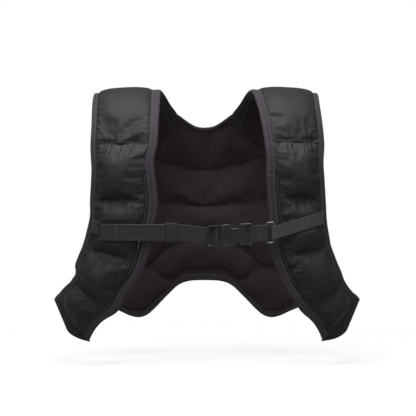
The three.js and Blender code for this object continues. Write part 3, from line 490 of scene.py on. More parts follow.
def woven_finish(name, dark, light, yarn, gloss, bump, creases):
    """Crossing yarns drawn on the UV map "cloth", with slubs and soft creases on Object coordinates.

    yarn is the spacing of the warp and the weft in metres, gloss is (roughness, specular, sheen), bump is the
    height of the yarns in metres, and creases is the size and height of the creases in metres.
    """
    made, tree = add_material(name)
    flat = add_node(tree, "ShaderNodeUVMap", {"uv_map": "cloth"})
    solid = add_node(tree, "ShaderNodeTexCoord")
    bands = [
        add_node(tree, "ShaderNodeTexWave", {"bands_direction": direction},
                 {"Scale": wave_scale(spacing), "Distortion": 0.6, "Detail": 1.0, "Detail Scale": 2.0},
                 {"Vector": flat.outputs[0]})
        for direction, spacing in zip("XY", yarn)
    ]
    weave = add_node(tree, "ShaderNodeMath", {"operation": "MULTIPLY"},
                     links={index: band.outputs["Fac"] for index, band in enumerate(bands)})
    slub = add_node(tree, "ShaderNodeTexNoise", values={"Scale": 600.0, "Detail": 2.0},
                    links={"Vector": solid.outputs["Object"]})
    relief = add_node(tree, "ShaderNodeMath", {"operation": "MULTIPLY_ADD"}, {1: 0.5},
                      {0: slub.outputs["Fac"], 2: weave.outputs[0]})
    crease = add_node(tree, "ShaderNodeTexNoise",
                      values={"Scale": 1 / creases[0], "Detail": 3.0, "Roughness": 0.5, "Distortion": 0.4},
                      links={"Vector": solid.outputs["Object"]})
    woven = add_node(tree, "ShaderNodeBump", values={"Strength": 0.5, "Distance": bump},
                     links={"Height": relief.outputs[0]})
    creased = add_node(tree, "ShaderNodeBump", values={"Strength": 0.5, "Distance": creases[1]},
                       links={"Height": crease.outputs["Fac"], "Normal": woven.outputs[0]})
    shade = add_node(tree, "ShaderNodeMix", {"data_type": "RGBA"}, {6: srgb(dark), 7: srgb(light)},
                     {"Factor": relief.outputs[0]})
    roughness, specular, sheen = gloss
    finish = add_node(
        tree, "ShaderNodeBsdfPrincipled",
        values={"Roughness": roughness, "Specular IOR Level": specular, "Sheen Weight": sheen,
                "Sheen Roughness": 0.45},
        links={"Base Color": shade.outputs[2], "Normal": creased.outputs[0]},
    )
    add_node(tree, "ShaderNodeOutputMaterial", links={"Surface": finish.outputs[0]})
    return made


# Fine nylon pack cloth, plain woven and calendered: near black, with a soft sheen on the pillows' crowns.
# Its yarns are drawn 1.3 mm apart, because the real 0.4 mm is too fine to show.
shell_nylon = woven_finish("fine black nylon pack cloth", "#131214", "#242224", (0.0013, 0.0013),
                           (0.58, 0.28, 0.06), 0.0003, (0.03, 0.0006))
# Brushed nylon lining, warp knitted: brownish black and matt, with fine wales drawn 1.6 mm apart.
lining_nylon = woven_finish("brushed brown black lining", "#211a1b", "#352a2d", (0.0016, 0.0016),
                            (0.85, 0.2, 0.15), 0.0002, (0.03, 0.0015))

# Where the strap and the anchor tapes lie on the pads
STRAP_RUN = 0.6285
STRAP_ROW = 9.5
STRAP_PILLOW_ROW = 8
LEFT_ANCHOR_ROW = 10
LEFT_ANCHOR_RISE = 0.006
ANCHOR_SLOPE = 0.3
WEBBING_WIDTH = 0.025
WEBBING_THICKNESS = 0.0016
SLEEVE_THICKNESS = 0.003
ANCHOR_WIDTH = 0.019
ELASTIC_THICKNESS = 0.0014
RING_ACROSS = 0.397
RING_LENGTH = 0.014
RING_BAR = 0.003
SLEEVE_END = -0.26 * HALF_WIDTH
RING_LEFT = RING_ACROSS * HALF_WIDTH - RING_LENGTH / 2
RING_RIGHT = RING_LEFT + RING_LENGTH
STRAP_HEIGHT = on_body((0, STRAP_RUN)).z
# The strap sags from the keeper to the buckle's left end, and rises evenly from there to the ring
STRAP_SAG = 0.005
GAP = CLEARANCE
KEEPER_LENGTH = 0.017
TAIL_CLEAR = 0.004
KEEPER_END = SLEEVE_END + GAP + KEEPER_LENGTH + TAIL_CLEAR
MALE_LENGTH = 0.0205
JOINT = 0.095 * HALF_WIDTH
BUCKLE_LEFT = JOINT - MALE_LENGTH
# The steps across a pillow at which each strip's path is given
SLEEVE_STEPS = (0.75, 0.65, 0.55, 0.4, 0.25)
LEFT_TAPE_STEPS = (0.95, 0.9, 0.84, 0.775)
RIGHT_TAPE_STEPS = (0.25, 0.4, 0.55, 0.75, 0.9, 0.96)


def crest(strap, step, thickness, row=STRAP_ROW):
    """Where the middle of a strip lies on the pillow under the strap, as (x, y)."""
    place = strap.place(row, strap.across(row, step))
    full = strap.rows[STRAP_PILLOW_ROW]["full"] * FRONT_PAD / 2

    def height(across):
        return SEAM_HALF + (full - SEAM_HALF) * swell(0.5) * crown(across)

    nearby = 0.04
    panel = strap.width(row) * (strap.across(row, 1) - strap.across(row, 0))
    steepness = (height(step + nearby) - height(step - nearby)) / (2 * nearby * panel)
    lift = height(step) + (CLEARANCE + thickness / 2) * math.hypot(1, steepness)
    point = on_body(place) + outward(place) * lift
    return point.x, point.y


SLEEVE_CREST = [crest(STRAPS["left"], step, SLEEVE_THICKNESS) for step in SLEEVE_STEPS]
STRAP_Y = SLEEVE_CREST[-1][1]
LEFT_TAPE = [crest(STRAPS["left"], step, ELASTIC_THICKNESS, LEFT_ANCHOR_ROW) for step in LEFT_TAPE_STEPS]
RIGHT_TAPE = [crest(STRAPS["right"], step, ELASTIC_THICKNESS) for step in RIGHT_TAPE_STEPS]


def strap_level(x):
    """The height of the middle of the strap."""
    falling = (x - KEEPER_END) / (BUCKLE_LEFT - KEEPER_END)
    rising = (RING_RIGHT - x) / (RING_RIGHT - BUCKLE_LEFT)
    return STRAP_HEIGHT - STRAP_SAG * max(min(falling, rising, 1), 0)


def left_tape_level(x):
    return STRAP_HEIGHT + LEFT_ANCHOR_RISE + ANCHOR_SLOPE * max(LEFT_TAPE[-1][0] - x, 0)


def right_tape_level(x):
    return STRAP_HEIGHT + ANCHOR_SLOPE * max(x - RING_RIGHT, 0)


def path_y(path, x):
    """The y of a path at an x, past its ends that of its end."""
    points = sorted(path)
    if x <= points[0][0]:
        return points[0][1]
    for (x0, y0), (x1, y1) in zip(points, points[1:]):
        if x <= x1:
            return y0 + (y1 - y0) * (x - x0) / (x1 - x0)
    return points[-1][1]


# Each strip that presses on a pad: its path, its level, its width and its thickness
PRESSES = {
    "left": [
        (SLEEVE_CREST + [(SLEEVE_END, STRAP_Y)], strap_level, WEBBING_WIDTH, SLEEVE_THICKNESS),
        (LEFT_TAPE, left_tape_level, ANCHOR_WIDTH, ELASTIC_THICKNESS),
    ],
    "right": [(RIGHT_TAPE, right_tape_level, ANCHOR_WIDTH, ELASTIC_THICKNESS)],
}
PRESS_FADE = 0.008
PRESS_ROOM = 0.0004


def press(mesh, presses):
    """Pushes the cloth back where a strip lies on it, fading out beside the strip."""
    for vertex in mesh.vertices:
        point = vertex.co
        for path, level, width, thickness in presses:
            xs = [x for x, _ in path]
            beyond = max(min(xs) - point.x, point.x - max(xs), 0)
            beside = abs(point.z - level(point.x)) - width / 2
            distance = max(beyond, beside, 0)
            if distance > PRESS_FADE or point.y > 0:
                continue
            limit = path_y(path, point.x) + thickness / 2 + PRESS_ROOM
            ease = 1 - distance / PRESS_FADE
            if point.y < limit:
                point.y += (limit - point.y) * ease * ease * (3 - 2 * ease)


CLOTH_GRID = 0.003
PAD_COLUMNS = 28
# How full a pad is before it swells, how far its filling sinks, and how far cloth runs in under a tape
START_SHARE = 0.88
SAG = 0.005
TUCK = 0.0018
# Folds as (depth, spacing, length), and the width of the pads between their two edges
SHELL_SEAM_FOLD = (0.0026, 0.0055, 0.006)
SHELL_EDGE_FOLD = (0.0016, 0.005, 0.008)
SHELL_WIDTH = 0.09
# How much of the noise makes a fold, and how fast folds change away from the seam and across the pad
FOLD_BIAS = 0.1
SEAM_FOLD_DRIFT = 9
EDGE_FOLD_DRIFT = 1.5
EDGE_FOLD_SEED = 20


def downhill(out):
    """The direction in which a sloping cloth sags."""
    fall = Vector((0, 0, -1))
    return fall - out * fall.dot(out)


def strap_pad(name, strap, first, final):
    """The pillows of one strap between two seams, ready to swell, with the indices of their sewn points."""
    rows = strap.grid_rows(first, final, CLOTH_GRID)
    reach = lengths_along([strap.place(row, 0.5) for row, _, _ in rows], apart)
    seam_reach = [r for r, (_, _, through) in zip(reach, rows) if through in (0, 1)]
    end_tuck = {first: -TUCK, final: TUCK}
    cells = []
    for (row, start, through), along in zip(rows, reach):
        width = strap.width(row)
        full = strap.rows[start]["full"] * FRONT_PAD / 2 * START_SHARE
        to_seam = min(abs(along - r) for r in seam_reach)
        line = []
        for k in range(PAD_COLUMNS + 1):
            step = k / PAD_COLUMNS
            share = strap.across(row, step) + (2 * step - 1) * TUCK / width
            turn, run = strap.place(row, share)
            place = (turn, run + end_tuck.get(row, 0) / RUN)
            out = outward(place)
            height = swell(through) * crown(step)
            half = SEAM_HALF + (full - SEAM_HALF) * height
            line.append((on_body(place) + downhill(out) * SAG * height, out, half, half,
                         (share * width, along), (to_seam, step)))
        cells.append(line)
    pad = two_faces(name, cells, [shell_nylon, lining_nylon])
    ring = 2 * (PAD_COLUMNS + 1)
    sewn = set()
    for index, (_, _, through) in enumerate(rows):
        columns = range(ring) if through in (0, 1) else (0, PAD_COLUMNS, PAD_COLUMNS + 1, ring - 1)
        sewn.update(index * ring + column for column in columns)
    pad["sewn"] = sorted(sewn)
    return pad


def dip(distance, peak):
    """A fold's depth at a distance from its seam: nothing at the seam, most at the peak, then fading."""
    return distance / peak * math.exp(1 - distance / peak)


def gather(mesh, width, seam_fold, edge_fold, seed):
    """Draws the puckers in: short folds that run away from the seams and from the two long edges.

    Each fold is (depth, spacing, length) in metres.
    """
    mesh.update()
    seams = mesh.uv_layers["seams"].data
    flat = mesh.uv_layers["cloth"].data
    near = {}
    for loop in mesh.loops:
        near[loop.vertex_index] = (seams[loop.index].uv.copy(), flat[loop.index].uv.copy())
    normals = [v.normal.copy() for v in mesh.vertices]
    for vertex, normal in zip(mesh.vertices, normals):
        (to_seam, step), (across, along) = near[vertex.index]
        to_edge = min(step, 1 - step) * width
        depth = 0
        if to_seam > 0:
            ripple = noise.noise(Vector((across / seam_fold[1], along * SEAM_FOLD_DRIFT, seed)))
            depth += seam_fold[0] * max(ripple + FOLD_BIAS, 0) * dip(to_seam, seam_fold[2])
        if to_edge > 0:
            place = Vector((along / edge_fold[1], step * EDGE_FOLD_DRIFT, seed + EDGE_FOLD_SEED))
            ripple = noise.noise(place)
            depth += edge_fold[0] * max(ripple + FOLD_BIAS, 0) * dip(to_edge, edge_fold[2])
        vertex.co -= normal * depth
    mesh.update()


shell_pads = []
for side, strap in STRAPS.items():
    for part, first, final in (("shoulder", 0, FRONT_SEAM_ROW), ("front_panel", FRONT_SEAM_ROW, strap.last)):
        shell_pads.append((strap_pad(f"{part}_{side}_quilted", strap, first, final), side, f"{part}_{side}"))
fronts = [pad for pad, _, node in shell_pads if "front" in node]
shoulders = [pad for pad, _, node in shell_pads if "shoulder" in node]
swell_cloth(fronts, growth=0.045, pressure=7.0, cap=0.012)
swell_cloth(shoulders, growth=0.03, pressure=1.0, cap=0.002)
for index, (pad, side, node) in enumerate(shell_pads):
    del pad["sewn"]
    divide(pad, 1)
    gather(pad.data, SHELL_WIDTH, SHELL_SEAM_FOLD, SHELL_EDGE_FOLD, index)
    press(pad.data, PRESSES[side])
    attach(pad, "root")
    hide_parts(node)

# Back panel. One quilted panel hangs from the yoke seams to the hem and out to the two wings, with the lining
# towards the wearer. Four seams cross it, so it swells in five bands, and it is sewn like the shell pads.
BACK_PAD = 0.017
BACK_SHIFT = -0.015
NECK = [(0, 0.266), (0.06, 0.260), (0.12, 0.238), (0.185, 0.204)]
SEAM_A = [(0, 0.410), (0.12, 0.407), (0.24, 0.392), (0.36, 0.375), (0.5, 0.385), (0.665, 0.400)]
SEAM_B = [(0, 0.536), (0.2, 0.532), (0.4, 0.525), (0.64, 0.520)]
SEAM_C = [(0, 0.660), (0.175, 0.677), (0.28, 0.702), (0.39, 0.752), (0.7, 0.765), (0.86, 0.755)]
SEAM_D = [(0, 0.770), (0.15, 0.774), (0.24, 0.807), (0.36, 0.772), (0.44, 0.770), (0.6, 0.785), (0.86, 0.775)]
HEM = [
    (0, 0.810), (0.12, 0.814), (0.19, 0.830), (0.25, 0.860), (0.4, 0.928), (0.48, 0.944), (0.55, 0.937),
    (0.62, 0.918), (0.7, 0.900), (0.86, 0.875),
]
# Each band of the panel: its two seams, how its columns flare, how full it is, its rows, and whether the
# armhole binding goes down it
BACK_COLUMNS = ("top", "bottom", "flare", "full", "rows", "bound")
BACK_BANDS = [dict(zip(BACK_COLUMNS, band)) for band in (
    (None, SEAM_A, 1, 0.8, 20, True),
    (SEAM_A, SEAM_B, 1, 1, 18, True),
    (SEAM_B, SEAM_C, 1.9, 1, 18, True),
    (SEAM_C, SEAM_D, 1, 1, 12, True),
    (SEAM_D, HEM, 1, 0.9, 14, False),
)]
NECK_HALF = 0.185
YOKE_HALF = 0.72
BACK_FULL_HEIGHT = 0.045
BACK_SAG_SHARE = 0.6
BACK_SEAM_FOLD = (0.0018, 0.008, 0.006)
BACK_EDGE_FOLD = (0.002, 0.006, 0.009)
BACK_WIDTH = 0.33
BACK_SEED = 40


def seam_run(table, half):
    """The run of a back seam at a share across, smoothly through its table."""
    def slope(k):
        if k == 0:
            return 0
        low, high = table[k - 1], table[min(k + 1, len(table) - 1)]
        return (high[1] - low[1]) / (high[0] - low[0])

    half = min(half, table[-1][0])
    k = next(k for k, (across, _) in enumerate(table) if across >= half - 1e-9)
    if k == 0:
        return table[0][1]
    (x0, y0), (x1, y1) = table[k - 1], table[k]
    span = x1 - x0
    s = (half - x0) / span
    return (y0 * (2 * s ** 3 - 3 * s ** 2 + 1) + slope(k - 1) * span * (s ** 3 - 2 * s ** 2 + s)
            + y1 * (3 * s ** 2 - 2 * s ** 3) + slope(k) * span * (s ** 3 - s ** 2))


def behind(sign, half, run):
    return turn_of(BACK_SHIFT + sign * half), -run


def lowered(place, length):
    return place[0], place[1] - length / RUN


def back_columns():
    """The panel's columns from left to right: (sign, share across, place on the yoke seam)."""
    sides = []
    yoke_steps = 22
    neck_steps = 8
    for strap in STRAPS.values():
        sign = strap.sign
        low = (BINDING_WIDTH - TUCK) / strap.width(0)
        side_columns = [(sign, NECK_HALF / YOKE_HALF * k / neck_steps, None) for k in range(neck_steps + 1)]
        for k in range(yoke_steps + 1):
            yoke = strap.place(0, low + (1 - 2 * low) * k / yoke_steps)
            share = abs(rounded(math.sin(yoke[0])) - BACK_SHIFT) / YOKE_HALF
            side_columns.append((sign, 1 if k == yoke_steps else share, yoke))
        sides.append(side_columns)
    return list(reversed(sides[0][1:])) + sides[1]


COLUMNS = back_columns()


def seam_place(table, column):
    sign, share, yoke = column
    if table is None and yoke:
        return lowered(yoke, -TUCK)
    if table is None:
        half = share * YOKE_HALF
        return lowered(behind(sign, half, seam_run(NECK, half)), BINDING_WIDTH - 3 * TUCK)
    half = share * table[-1][0]
    lift = BINDING_WIDTH - TUCK if table is HEM else 0
    return behind(sign, half, seam_run(table, half) - lift / RUN)


def back_place(band, step, column):
    top, bottom = seam_place(band["top"], column), seam_place(band["bottom"], column)
    return top[0] + (bottom[0] - top[0]) * step ** band["flare"], top[1] + (bottom[1] - top[1]) * step


def back_edge(band, step, sign, inset):
    """A place on the panel's side edge, moved in by a length."""
    strap = STRAPS["left"] if sign < 0 else STRAPS["right"]
    if band["top"] is None and step == 0:
        return lowered(strap.place(0, 1 - inset / strap.width(0)), CLEARANCE)
    edge = back_place(band, step, (sign, 1, strap.place(0, 1)))
    inner = COLUMNS[3] if sign < 0 else COLUMNS[-4]
    return pull(edge, back_place(band, step, inner), inset)


back_rows = [(band, k / band["rows"]) for band in BACK_BANDS for k in range(band["rows"])]
back_rows.append((BACK_BANDS[-1], 1))
back_cells = []
for band, step in back_rows:
    inset = BINDING_WIDTH - TUCK if band["bound"] or step == 0 else CLEARANCE
    line = []
    for column in COLUMNS:
        sign, share, yoke = column
        place = back_edge(band, step, sign, inset) if share == 1 else back_place(band, step, column)
        tall = apart(seam_place(band["top"], column), seam_place(band["bottom"], column))
        full = SEAM_HALF + (BACK_PAD / 2 - SEAM_HALF) * band["full"] * min(tall / BACK_FULL_HEIGHT, 1)
        out = outward(place)
        height = swell(step) * crown(0.5 + share * 0.5)
        half = SEAM_HALF + (full - SEAM_HALF) * height
        point = on_body(place)
        sunk = downhill(out) * SAG * BACK_SAG_SHARE * height * min(tall / BACK_FULL_HEIGHT, 1)
        line.append((point + sunk, out,
                     half, half, (point.x, point.z), (min(step, 1 - step) * tall, 0.5 + share * 0.5)))
    back_cells.append(line)
back = two_faces("back_panel_quilted", back_cells, [shell_nylon, lining_nylon])
back_ring = 2 * len(COLUMNS)
back_sewn = set()
for index, (band, step) in enumerate(back_rows):
    edges = (0, len(COLUMNS) - 1, len(COLUMNS), back_ring - 1)
    back_sewn.update(index * back_ring + column for column in (range(back_ring) if step in (0, 1) else edges))
back["sewn"] = sorted(back_sewn)
swell_cloth([back], growth=0.012, pressure=2.5, cap=0.005)
del back["sewn"]
divide(back, 1)
gather(back.data, BACK_WIDTH, BACK_SEAM_FOLD, BACK_EDGE_FOLD, BACK_SEED)
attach(back, "root")
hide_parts("back_panel")

# Side mesh. A coarse elastic spacer mesh joins each front tip to the back wing round the side. It is knitted
# in two open layers, so it shows rows of small round pits on both faces.
SIDE_MESH_THICKNESS = 0.003
SIDE_COLUMNS = ("top_turn", "top_run", "bottom_turn", "bottom_run")
SIDE_ROWS = [dict(zip(SIDE_COLUMNS, row)) for row in (
    (0.450, 0.860, 0.355, 0.990),
    (0.510, 0.868, 0.445, 0.970),
    (0.585, 0.862, 0.550, 0.938),
)]
MESH_PITCH = 0.0036
MESH_GRID = 0.0009
PIT_ROWS = MESH_PITCH * 0.87
PIT_RADIUS = MESH_PITCH * 0.33
PIT_DEPTH = 0.0009
# Above 1, a pit has a flat floor
PIT_FLATNESS = 1.6

# Polyester spacer mesh, knitted: dull greenish black, with matt fuzzy threads
spacer_mesh = woven_finish("black knitted spacer mesh", "#171814", "#34352e", (0.0009, 0.0009),
                           (0.9, 0.15, 0.15), 0.0003, (0.02, 0.001))


def pit(across, along):
    """Depth of the mesh's pits at a flat place: round, in staggered rows."""
    row = math.floor(along / PIT_ROWS)
    deepest = 0
    for near in (row, row + 1):
        y = along - near * PIT_ROWS
        x = (across / MESH_PITCH + 0.5 * (near % 2)) % 1 - 0.5
        deepest = max(deepest, 1 - (math.hypot(x * MESH_PITCH, y) / PIT_RADIUS) ** 2)
    return PIT_DEPTH * min(max(deepest, 0) * PIT_FLATNESS, 1)


for side, strap in STRAPS.items():
    sign = strap.sign
    wing_turn = sign * math.pi - turn_of(BACK_SHIFT + sign * HEM[-1][0])
    ends = {
        "top": [strap.place(strap.last, 1)],
        "bottom": [strap.place(strap.last, 0)],
    }
    for row in SIDE_ROWS:
        for edge in ends:
            ends[edge].append((sign * row[f"{edge}_turn"] * math.pi, row[f"{edge}_run"]))
    ends["top"].append((wing_turn, SEAM_D[-1][1]))
    ends["bottom"].append((wing_turn, HEM[-1][1]))
    # Both ends are sewn in under the tapes
    for line in ends.values():
        line[0] = mix(line[0], line[1], -TUCK / apart(line[0], line[1]))
        line[-1] = mix(line[-1], line[-2], -2 * TUCK / apart(line[-1], line[-2]))
    length = sum(apart(a, b) for a, b in zip(ends["top"], ends["top"][1:]))
    width = sum(apart(a, b) for a, b in zip(ends["top"], ends["bottom"])) / len(ends["top"])
    long_steps, wide_steps = int(length / MESH_GRID), int(width / MESH_GRID)
    cells = []
    for i in range(long_steps + 1):
        at = i / long_steps * (len(ends["top"]) - 1)
        top, bottom = smooth_through(ends["top"], at), smooth_through(ends["bottom"], at)
        line = []
        for j in range(wide_steps + 1):
            place = mix(top, bottom, j / wide_steps)
            flat = (j / wide_steps * width, i / long_steps * length)
            rim = i in (0, long_steps) or j < 3 or j > wide_steps - 3
            half = SIDE_MESH_THICKNESS / 2 - (0 if rim else pit(*flat))
            line.append((on_body(place), outward(place), half, half, flat, (0, 0)))
        cells.append(line)
    net = two_faces(f"side_mesh_{side}_knitted", cells, [spacer_mesh])
    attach(net, "root")
    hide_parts(f"side_mesh_{side}")

# Edge bindings. Folded tape goes round every edge and is sewn down through the padding, so its fold is round
# and its sewn side lies flatter. It is drawn in by the thread, and ruched where an edge is gathered.
BINDING_THICKNESS = 0.0054
BINDING_GRID = 0.003
BINDING_STEPS = (0.004, 0.03, 0.09, 0.18, 0.3, 0.45, 0.6, 0.75, 0.88, 0.96, 1)
SEWN_STEP = 8
# The share of the tape that its fold takes, how much flatter its sewn side is, and the lengths of its ripples
FOLD_SHARE = 0.35
SEWN_FLATTER = 0.18
RIPPLE_LENGTH = 0.009
BUNCH_LENGTH = 0.0042
# How much each kind of ripple moves the tape's sewn side and changes its thickness, and its least thickness
RIPPLE_DRAW, BUNCH_DRAW = 0.05, 0.1
RIPPLE_SWELL, BUNCH_SWELL = 0.07, 0.4
LEAST_HALF = 0.0003

# Nylon grosgrain tape, ribbed across: purplish grey where it catches the light, ribs drawn 1.4 mm apart
binding_tape = woven_finish("purple grey grosgrain binding tape", "#1f1b20", "#38313a", (0.006, 0.0014),
                            (0.65, 0.25, 0.15), 0.0003, (0.012, 0.0015))


def binding_half(share):
    """Half thickness of the folded tape, from its fold at 0 to its sewn side at 1."""
    fold = min(share / FOLD_SHARE, 1)
    sewn = max(share - FOLD_SHARE, 0) / (1 - FOLD_SHARE)
    return BINDING_THICKNESS / 2 * math.sqrt(1 - (1 - fold) ** 2) * (1 - SEWN_FLATTER * sewn)


def resampled(pairs, spacing):
    """Pairs of places, (edge, sewn), at an even spacing along the edge."""
    reach = lengths_along([edge for edge, _ in pairs], apart)
    count = max(int(reach[-1] / spacing), 2)
    result = []
    for j, part in even_places(reach, count):
        result.append((mix(pairs[j - 1][0], pairs[j][0], part), mix(pairs[j - 1][1], pairs[j][1], part)))
    return result, reach[-1] / count


binding_paths = []


def bind(node, pairs, ruched=None, seed=0):
    """Makes one binding over its CAD node. ruched gives the heights between which the tape is bunched."""
    places, spacing = resampled(pairs, BINDING_GRID)
    cells = []
    seams = ([], [])
    for index, (edge, sewn) in enumerate(places):
        along = index * spacing
        height = on_body(edge).z
        bunched = 1 if ruched and ruched[0] < height < ruched[1] and edge[1] > 0 else 0
        ripple = noise.noise(Vector((along / RIPPLE_LENGTH, seed, 0)))
        bunch = noise.noise(Vector((along / BUNCH_LENGTH, seed, 5)))
        line = []
        for share in BINDING_STEPS:
            drawn = share + (RIPPLE_DRAW * ripple + BUNCH_DRAW * bunched * bunch) * share
            place = mix(edge, sewn, drawn)
            out = outward(place)
            half = binding_half(share) * (1 + RIPPLE_SWELL * ripple + BUNCH_SWELL * bunched * bunch)
            half = max(half, LEAST_HALF)
            point = on_body(place)
            line.append((point, out, half, half, (share * BINDING_WIDTH, along), (0, 0)))
        cells.append(line)
        middle, out, half = line[SEWN_STEP][:3]
        seams[0].append((middle + out * half, out))
        seams[1].append((middle - out * half, -out))
    tape = two_faces(f"{node}_tape", cells, [binding_tape])
    divide(tape, 1)
    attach(tape, "root")
    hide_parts(node)
    binding_paths.extend(seams)


def strap_edge(strap, inner):
    """The pairs of one long edge of a strap, from the yoke to the tip."""
    pairs = []
    steps = 12
    for k in range(strap.last * steps + 1):
        row = k / steps
        tape = BINDING_WIDTH / strap.width(row)
        edge = strap.place(row, 0 if inner else 1)
        pairs.append((edge, strap.place(row, tape if inner else 1 - tape)))
    if inner:
        pairs.insert(0, tuple(lowered(place, 2 * TUCK) for place in pairs[0]))
    return pairs


# The heights between which the right front binding is bunched
RUCHED = (-0.125, -0.062)
for seed, (side, strap) in enumerate(STRAPS.items()):
    sign = strap.sign
    bind(f"front_binding_{side}", strap_edge(strap, True), RUCHED if side == "right" else None, seed)
    down_the_back = []
    for band, step in back_rows:
        if band["bound"] or step == 0:
            edge = back_place(band, step, (sign, 1, strap.place(0, 1)))
            down_the_back.append((edge, back_edge(band, step, sign, BINDING_WIDTH)))
    front = list(reversed(strap_edge(strap, False)))
    bind(f"armhole_binding_{side}", front + down_the_back[1:], seed=seed + 2)


def neck_pairs():
    pairs = []
    for strap in STRAPS.values():
        sign = strap.sign
        yoke = strap.place(0, BINDING_WIDTH / strap.width(0))
        side_pairs = []
        for k in range(12):
            half = NECK_HALF * k / 12
            edge = behind(sign, half, seam_run(NECK, half))
            side_pairs.append((edge, lowered(edge, BINDING_WIDTH)))
        corner = behind(sign, NECK_HALF, seam_run(NECK, NECK_HALF))
        edge, sewn = side_pairs[-1]
        side_pairs.append((pull(corner, edge, -2 * TUCK), pull(yoke, sewn, -2 * TUCK)))
        pairs = list(reversed(side_pairs)) if sign < 0 else pairs + side_pairs[1:]
    return pairs


def hem_pairs():
    pairs = []
    steps = 60
    wing = HEM[-1][0]
    for k in range(-steps, steps + 1):
        half = abs(k) / steps * wing
        edge = behind(-1 if k < 0 else 1, half, seam_run(HEM, half))
        pairs.append((edge, lowered(edge, -BINDING_WIDTH)))
    return pairs


bind("neck_binding", neck_pairs(), seed=4)
bind("hem_binding", hem_pairs(), seed=5)

# Zips and stitches. A nylon coil zip on its own tape runs down beside the inner binding of each front panel.
# Thread of the same black sews down the bindings and crosses every quilted seam, in stitches 3.5 mm long. In
# the quilted seams it is drawn darker, as painted shade.
COIL_PITCH = 0.0017
COIL_LINK = (0.0012, 0.0036, 0.0018)
ZIP_TAPE_HALF = 0.0009
ZIP_EDGE_SHARE = 0.4
ZIP_ROW_LENGTH = 0.002
COIL_LIFT = 1.6
ZIP_GRID = 160
ZIP_STEPS = (0, 0.04, 0.2, 0.5, 0.8, 0.96, 1)
STITCH_PITCH = 0.0035
STITCH = (0.0029, 0.0008, 0.0007)


def beads_tree():
    """A node tree that lays beads along a path with the direction "out": stitches, or a coil's links."""
    tree = bpy.data.node_groups.new("beads along a path", "GeometryNodeTree")
    for name, kind in (("Path", "NodeSocketGeometry"), ("Pitch", "NodeSocketFloat"),
                       ("Size", "NodeSocketVector"), ("Material", "NodeSocketMaterial")):
        tree.interface.new_socket(name=name, in_out="INPUT", socket_type=kind)
    tree.interface.new_socket(name="Beads", in_out="OUTPUT", socket_type="NodeSocketGeometry")
    given = add_node(tree, "NodeGroupInput")
    curve = add_node(tree, "GeometryNodeMeshToCurve", links={"Mesh": given.outputs["Path"]})
    spaced = add_node(tree, "GeometryNodeCurveToPoints", {"mode": "LENGTH"},
                      links={"Curve": curve.outputs[0], "Length": given.outputs["Pitch"]})
    out = add_node(tree, "GeometryNodeInputNamedAttribute", {"data_type": "FLOAT_VECTOR"}, {"Name": "out"})
    along = add_node(tree, "FunctionNodeAlignRotationToVector", {"axis": "X"},
                     links={"Vector": spaced.outputs["Tangent"]})
    facing = add_node(tree, "FunctionNodeAlignRotationToVector", {"axis": "Z", "pivot_axis": "X"},
                      links={"Rotation": along.outputs[0], "Vector": out.outputs[0]})
    bead = add_node(tree, "GeometryNodeMeshUVSphere", values={"Segments": 8, "Rings": 4, "Radius": 0.5})
    smooth = add_node(tree, "GeometryNodeSetShadeSmooth", links={"Geometry": bead.outputs[0]})
    laid = add_node(tree, "GeometryNodeInstanceOnPoints", links={
        "Points": spaced.outputs["Points"], "Instance": smooth.outputs[0],
        "Rotation": facing.outputs[0], "Scale": given.outputs["Size"],
    })
    real = add_node(tree, "GeometryNodeRealizeInstances", links={"Geometry": laid.outputs[0]})
    finished = add_node(tree, "GeometryNodeSetMaterial",
                        links={"Geometry": real.outputs[0], "Material": given.outputs["Material"]})
    add_node(tree, "NodeGroupOutput", links={"Beads": finished.outputs[0]})
    return tree


BEADS = beads_tree()


def beads(name, paths, pitch, size, material):
    """Lays beads along paths of (point, out) and keeps them as one plain mesh."""
    points = [point for path in paths for point, _ in path]
    ends = set()
    for path in paths:
        ends.add(len(path) + max(ends, default=0))
    edges = [(k, k + 1) for k in range(len(points) - 1) if k + 1 not in ends]
    mesh = bpy.data.meshes.new(name)
    mesh.from_pydata(points, edges, [])
    facing = mesh.attributes.new("out", "FLOAT_VECTOR", "POINT")
    for value, out in zip(facing.data, (out for path in paths for _, out in path)):
        value.vector = out
    made = add_object(name, mesh)
    laid = made.modifiers.new("beads", "NODES")
    laid.node_group = BEADS
    values = {"Pitch": pitch, "Size": size, "Material": material}
    for socket in BEADS.interface.items_tree:
        if socket.name in values:
            laid[socket.identifier] = values[socket.name]
    bake(made)
    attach(made, "root")
    return made


ROUGHNESS_SPREAD = 0.06


def plain_finish(name, dark, light, grain, gloss, bump):
    """A material with mottling of two colours on Object coordinates, and a fine relief of the same grain.

    grain is the size of the mottling in metres, gloss is (roughness, specular), bump is in metres.
    """
    made, tree = add_material(name)
    solid = add_node(tree, "ShaderNodeTexCoord")
    mottle = add_node(tree, "ShaderNodeTexNoise", values={"Scale": 1 / grain, "Detail": 4.0},
                      links={"Vector": solid.outputs["Object"]})
    shade = add_node(tree, "ShaderNodeMix", {"data_type": "RGBA"}, {6: srgb(dark), 7: srgb(light)},
                     {"Factor": mottle.outputs["Fac"]})
    rough = add_node(tree, "ShaderNodeMapRange",
                     values={"To Min": gloss[0] - ROUGHNESS_SPREAD, "To Max": gloss[0] + ROUGHNESS_SPREAD},
                     links={"Value": mottle.outputs["Fac"]})
    relief = add_node(tree, "ShaderNodeBump", values={"Strength": 0.5, "Distance": bump},
                      links={"Height": mottle.outputs["Fac"]})
    finish = add_node(
        tree, "ShaderNodeBsdfPrincipled", values={"Specular IOR Level": gloss[1]},
        links={"Base Color": shade.outputs[2], "Roughness": rough.outputs[0], "Normal": relief.outputs[0]},
    )
    add_node(tree, "ShaderNodeOutputMaterial", links={"Surface": finish.outputs[0]})
    return made


# Bonded polyester thread, twisted: grey black, with a dull shine on each stitch
sewing_thread = plain_finish("bonded black sewing thread", "#2c292e", "#4d494f", 0.0006, (0.5, 0.4), 0.0001)
